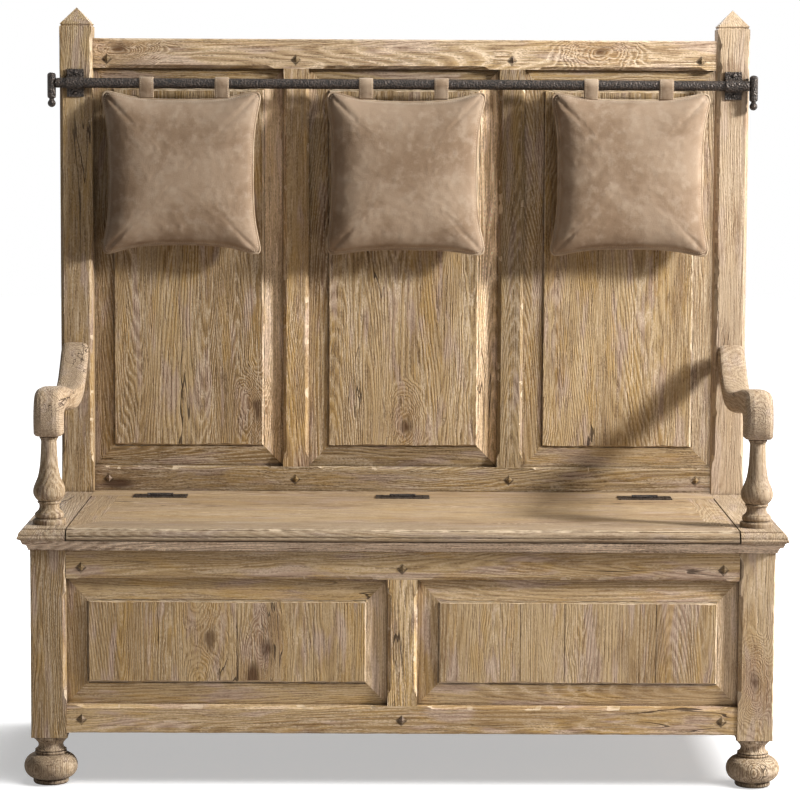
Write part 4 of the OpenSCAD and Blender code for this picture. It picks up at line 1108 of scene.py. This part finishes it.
def field_edges(x0, x1, z0, z1, y, width, seed):
    """Ragged edges of a raised field: the two upright ones, then the two level ones."""
    return [
        side_arrises(x0, x1, z0, z1, y, width, (seed, seed + 1), 1.1, 0, 0.006),
        [arris(*level(x0, x1, y, z0), UP, BACK, width * 1.25, seed + 5, 1.3, 0, 0.0035),
         arris(*level(x0, x1, y, z1), DOWN, BACK, width, seed + 6, 1.3, 0, 0.0035)],
    ]


def field_quirks(x0, x1, z0, z1, y, seed):
    """Grooves along the left, lower and upper edges of a raised field, their faces painted dark as
    shade.
    """
    return [
        [quirk(*upright(x0, y, z0, z1), LEFT, 5.5, 4.4, seed + 1, 0.005)],
        [quirk(*level(x0, x1, y, z0), DOWN, 3.6, 4.6, seed, 0.0035),
         quirk(*level(x0, x1, y, z1), UP, 1.6, 3.4, seed + 2, 0.004)],
    ]


def bevel_finishes(name, seed):
    """Finishes of the mitred strips round a field, left, right and level ones: lit and shaded
    copies of the board's finish, with painted light and shade.
    """
    left, right, flat = BEVEL_PAINTED_LIGHT[name]
    look = BOARDS[ALONG_Z][name]
    return (board_finish("left_bevel_", name, ALONG_Z, 61 + seed, look, left),
            board_finish("right_bevel_", name, ALONG_Z, 68 + seed, look, right, 0.6),
            board_finish("level_bevel_", name, ALONG_X, 77 + seed, look, flat))


# the frames' openings, from left to right and from below to above, in millimetres
POST_SIDE = 624
BACK_OPENINGS = ((-POST_SIDE, -242), (-191, 191), (242, POST_SIDE))
BACK_LOW, BACK_HIGH = 535.0, 1337.0
CHEST_OPENINGS = ((-POST_SIDE, -27.5), (27.5, POST_SIDE))
CHEST_LOW, CHEST_HIGH = 153, 390
# the front faces of the frames, their posts and their fields, and the bevels' width
BACK_FACE, BACK_POST, BACK_FIELD = 265.0, 239, 270
CHEST_FACE, CHEST_POST, CHEST_FIELD = -279.0, -281.0, -274
BEVEL = 41


def rail_arrises(openings, end, y, z, into, width, seed, ripple):
    """Chamfers along a rail that stop short of each opening's ends."""
    return [arris(*level(x0 + end, x1 - end, y, z), into, BACK, width, seed + k, ripple, 0.02)
            for k, (x0, x1) in enumerate(openings)]


def worn_back():
    top, rear, foot = 1414, 303, 94
    crest, crest_rear, crest_end = 1396, 295, 623
    for s, side, width in ((-1, "left", 4.6), (1, "right", 6.2)):
        inner, outer = s * POST_SIDE, s * 688
        inward, outward = (s, 0, 0), (-s, 0, 0)
        cut_board("back_post_" + side, [[
            arris(*upright(inner, BACK_POST, 540, top), inward, BACK, width, 3 + s, 0.75, 0.02),
            arris(*upright(outer, BACK_POST, 500, top), outward, BACK, 2.6, 13 + s, 0.9, 0.03),
            arris(*upright(outer, rear, foot, top), outward, FRONT, 2.6, 15 + s, 0.9),
            arris(*upright(inner, rear, foot, top), inward, FRONT, 2.6, 17 + s, 0.9),
        ]])
    cut_board("back_top_rail", [
        rail_arrises(BACK_OPENINGS, 14, BACK_FACE, BACK_HIGH, UP, 5.2, 21, 0.5) + [
            arris(*level(-crest_end, crest_end, BACK_FACE, crest), DOWN, BACK, 2.4, 25, 0.9,
                  0.02),
            arris(*level(-crest_end, crest_end, crest_rear, crest), DOWN, FRONT, 2.4, 26, 0.9),
        ]])
    cut_board("back_seat_rail", [
        rail_arrises(BACK_OPENINGS, 14, BACK_FACE, BACK_LOW, DOWN, 5.4, 31, 0.5)])
    for side, (_, x0), (x1, _) in zip(("left", "right"), BACK_OPENINGS, BACK_OPENINGS[1:]):
        cut_board("back_muntin_" + side, [side_arrises(
            x0, x1, BACK_LOW + 12, BACK_HIGH - 14, BACK_FACE, 5.2, (x0 / 7, x1 / 7), 0.6, 0.022)])


def worn_chest():
    top, foot, post_rear = 440, 92, -215
    for s, side, width in ((-1, "left", 3.0), (1, "right", 4.4)):
        inner, outer = s * POST_SIDE, s * 690
        inward, outward = (s, 0, 0), (-s, 0, 0)
        cut_board("front_post_" + side, [[
            arris(*upright(inner, CHEST_POST, 158, top), inward, BACK, width, 51 + s, 1.0,
                  0.012, 0.0035, 0.6),
            arris(*upright(outer, CHEST_POST, foot, top), outward, BACK, 2.2, 55 + s, 0.9),
            arris(*upright(outer, post_rear, foot, top), outward, FRONT, 1.8, 57 + s, 0.9),
        ]])
    cut_board("front_top_rail", [
        rail_arrises(CHEST_OPENINGS, 12, CHEST_FACE, CHEST_HIGH, UP, 5.2, 61, 0.55)])
    cut_board("front_bottom_rail", [
        rail_arrises(CHEST_OPENINGS, 12, CHEST_FACE, CHEST_LOW, DOWN, 5.2, 65, 0.55)
        + [arris(*level(-622, 622, CHEST_FACE, 100), UP, BACK, 2.6, 67, 0.9)]])
    cut_board("front_muntin", [
        side_arrises(-27.5, 27.5, 164, 378, CHEST_FACE, 5.4, (71, 73), 0.7, 0.022)])
    # the quirk under the lid's nosing is painted dark as shade
    cut_board("lid_front_rail",
              [[arris(*level(-619, 619, -292, 485), BACK, DOWN, 1.9, 75, 0.95)]], (),
              [[quirk(*level(-619.5, 619.5, -301.2, 471.7), DOWN, 1.5, 2.2, 77)]])


def worn_panels():
    for k, (side, (x0, x1)) in enumerate(zip(SIDES, BACK_OPENINGS)):
        name = "back_panel_" + side
        field = (x0 + BEVEL, x1 - BEVEL, BACK_LOW + 43, BACK_HIGH - 43, BACK_FIELD)
        cut_board(name, field_edges(*field, 1.5, 80 + 9 * k), bevel_finishes(name, 0.31 * k),
                  field_quirks(*field, 140 + 5 * k))
    # the chest's fields are glued up from boards, whose joints have opened
    joints = ((-455, -308, -165), (218, 300, 470))
    for k, (side, (x0, x1)) in enumerate(zip(("left", "right"), CHEST_OPENINGS)):
        name = "front_panel_" + side
        field = (x0 + BEVEL, x1 - BEVEL, 196, 347, CHEST_FIELD)
        gaps = [quirk(*upright(x, CHEST_FIELD, 198, 345), RIGHT, 3.2, 1.4, 171 + x)
                for x in joints[k]]
        cut_board(name, field_edges(*field, 1.4, 110 + 9 * k),
                  bevel_finishes(name, 5.0 + 0.31 * k),
                  field_quirks(*field, 160 + 5 * k) + [gaps])


make_camera()
make_world()
lamps = make_lights(make_floor())
dress_oak()
dress_iron()
CUT_MARK = bpy.data.materials.new("cut_mark")
DARK_MARK = bpy.data.materials.new("dark_mark")
worn_back()
worn_chest()
worn_panels()
for mark in (CUT_MARK, DARK_MARK):
    bpy.data.materials.remove(mark)
let_light_past("back_post_right_worn", [lamps[name] for name in ("key", "side", "front")])

STITCHES = stitch_maker()
hide = nubuck("cushion_nubuck", (126, 103, 81), (150, 129, 108), (175, 158, 139))
welt = nubuck("piping_nubuck", (150, 127, 103), (176, 155, 131), (202, 184, 160), 20.0)
strap = nubuck("loop_nubuck", (134, 112, 90), (160, 140, 118), (186, 168, 148), 30.0)
raw_edge = nubuck("cut_edge", (170, 146, 120), (196, 174, 148), (214, 196, 172), 40.0)
thread = linen("linen_thread", (150, 130, 107))
make_cushions(hide, welt, thread)
make_loops(strap, raw_edge, thread)

bpy.context.scene.view_settings.view_transform = "Standard"
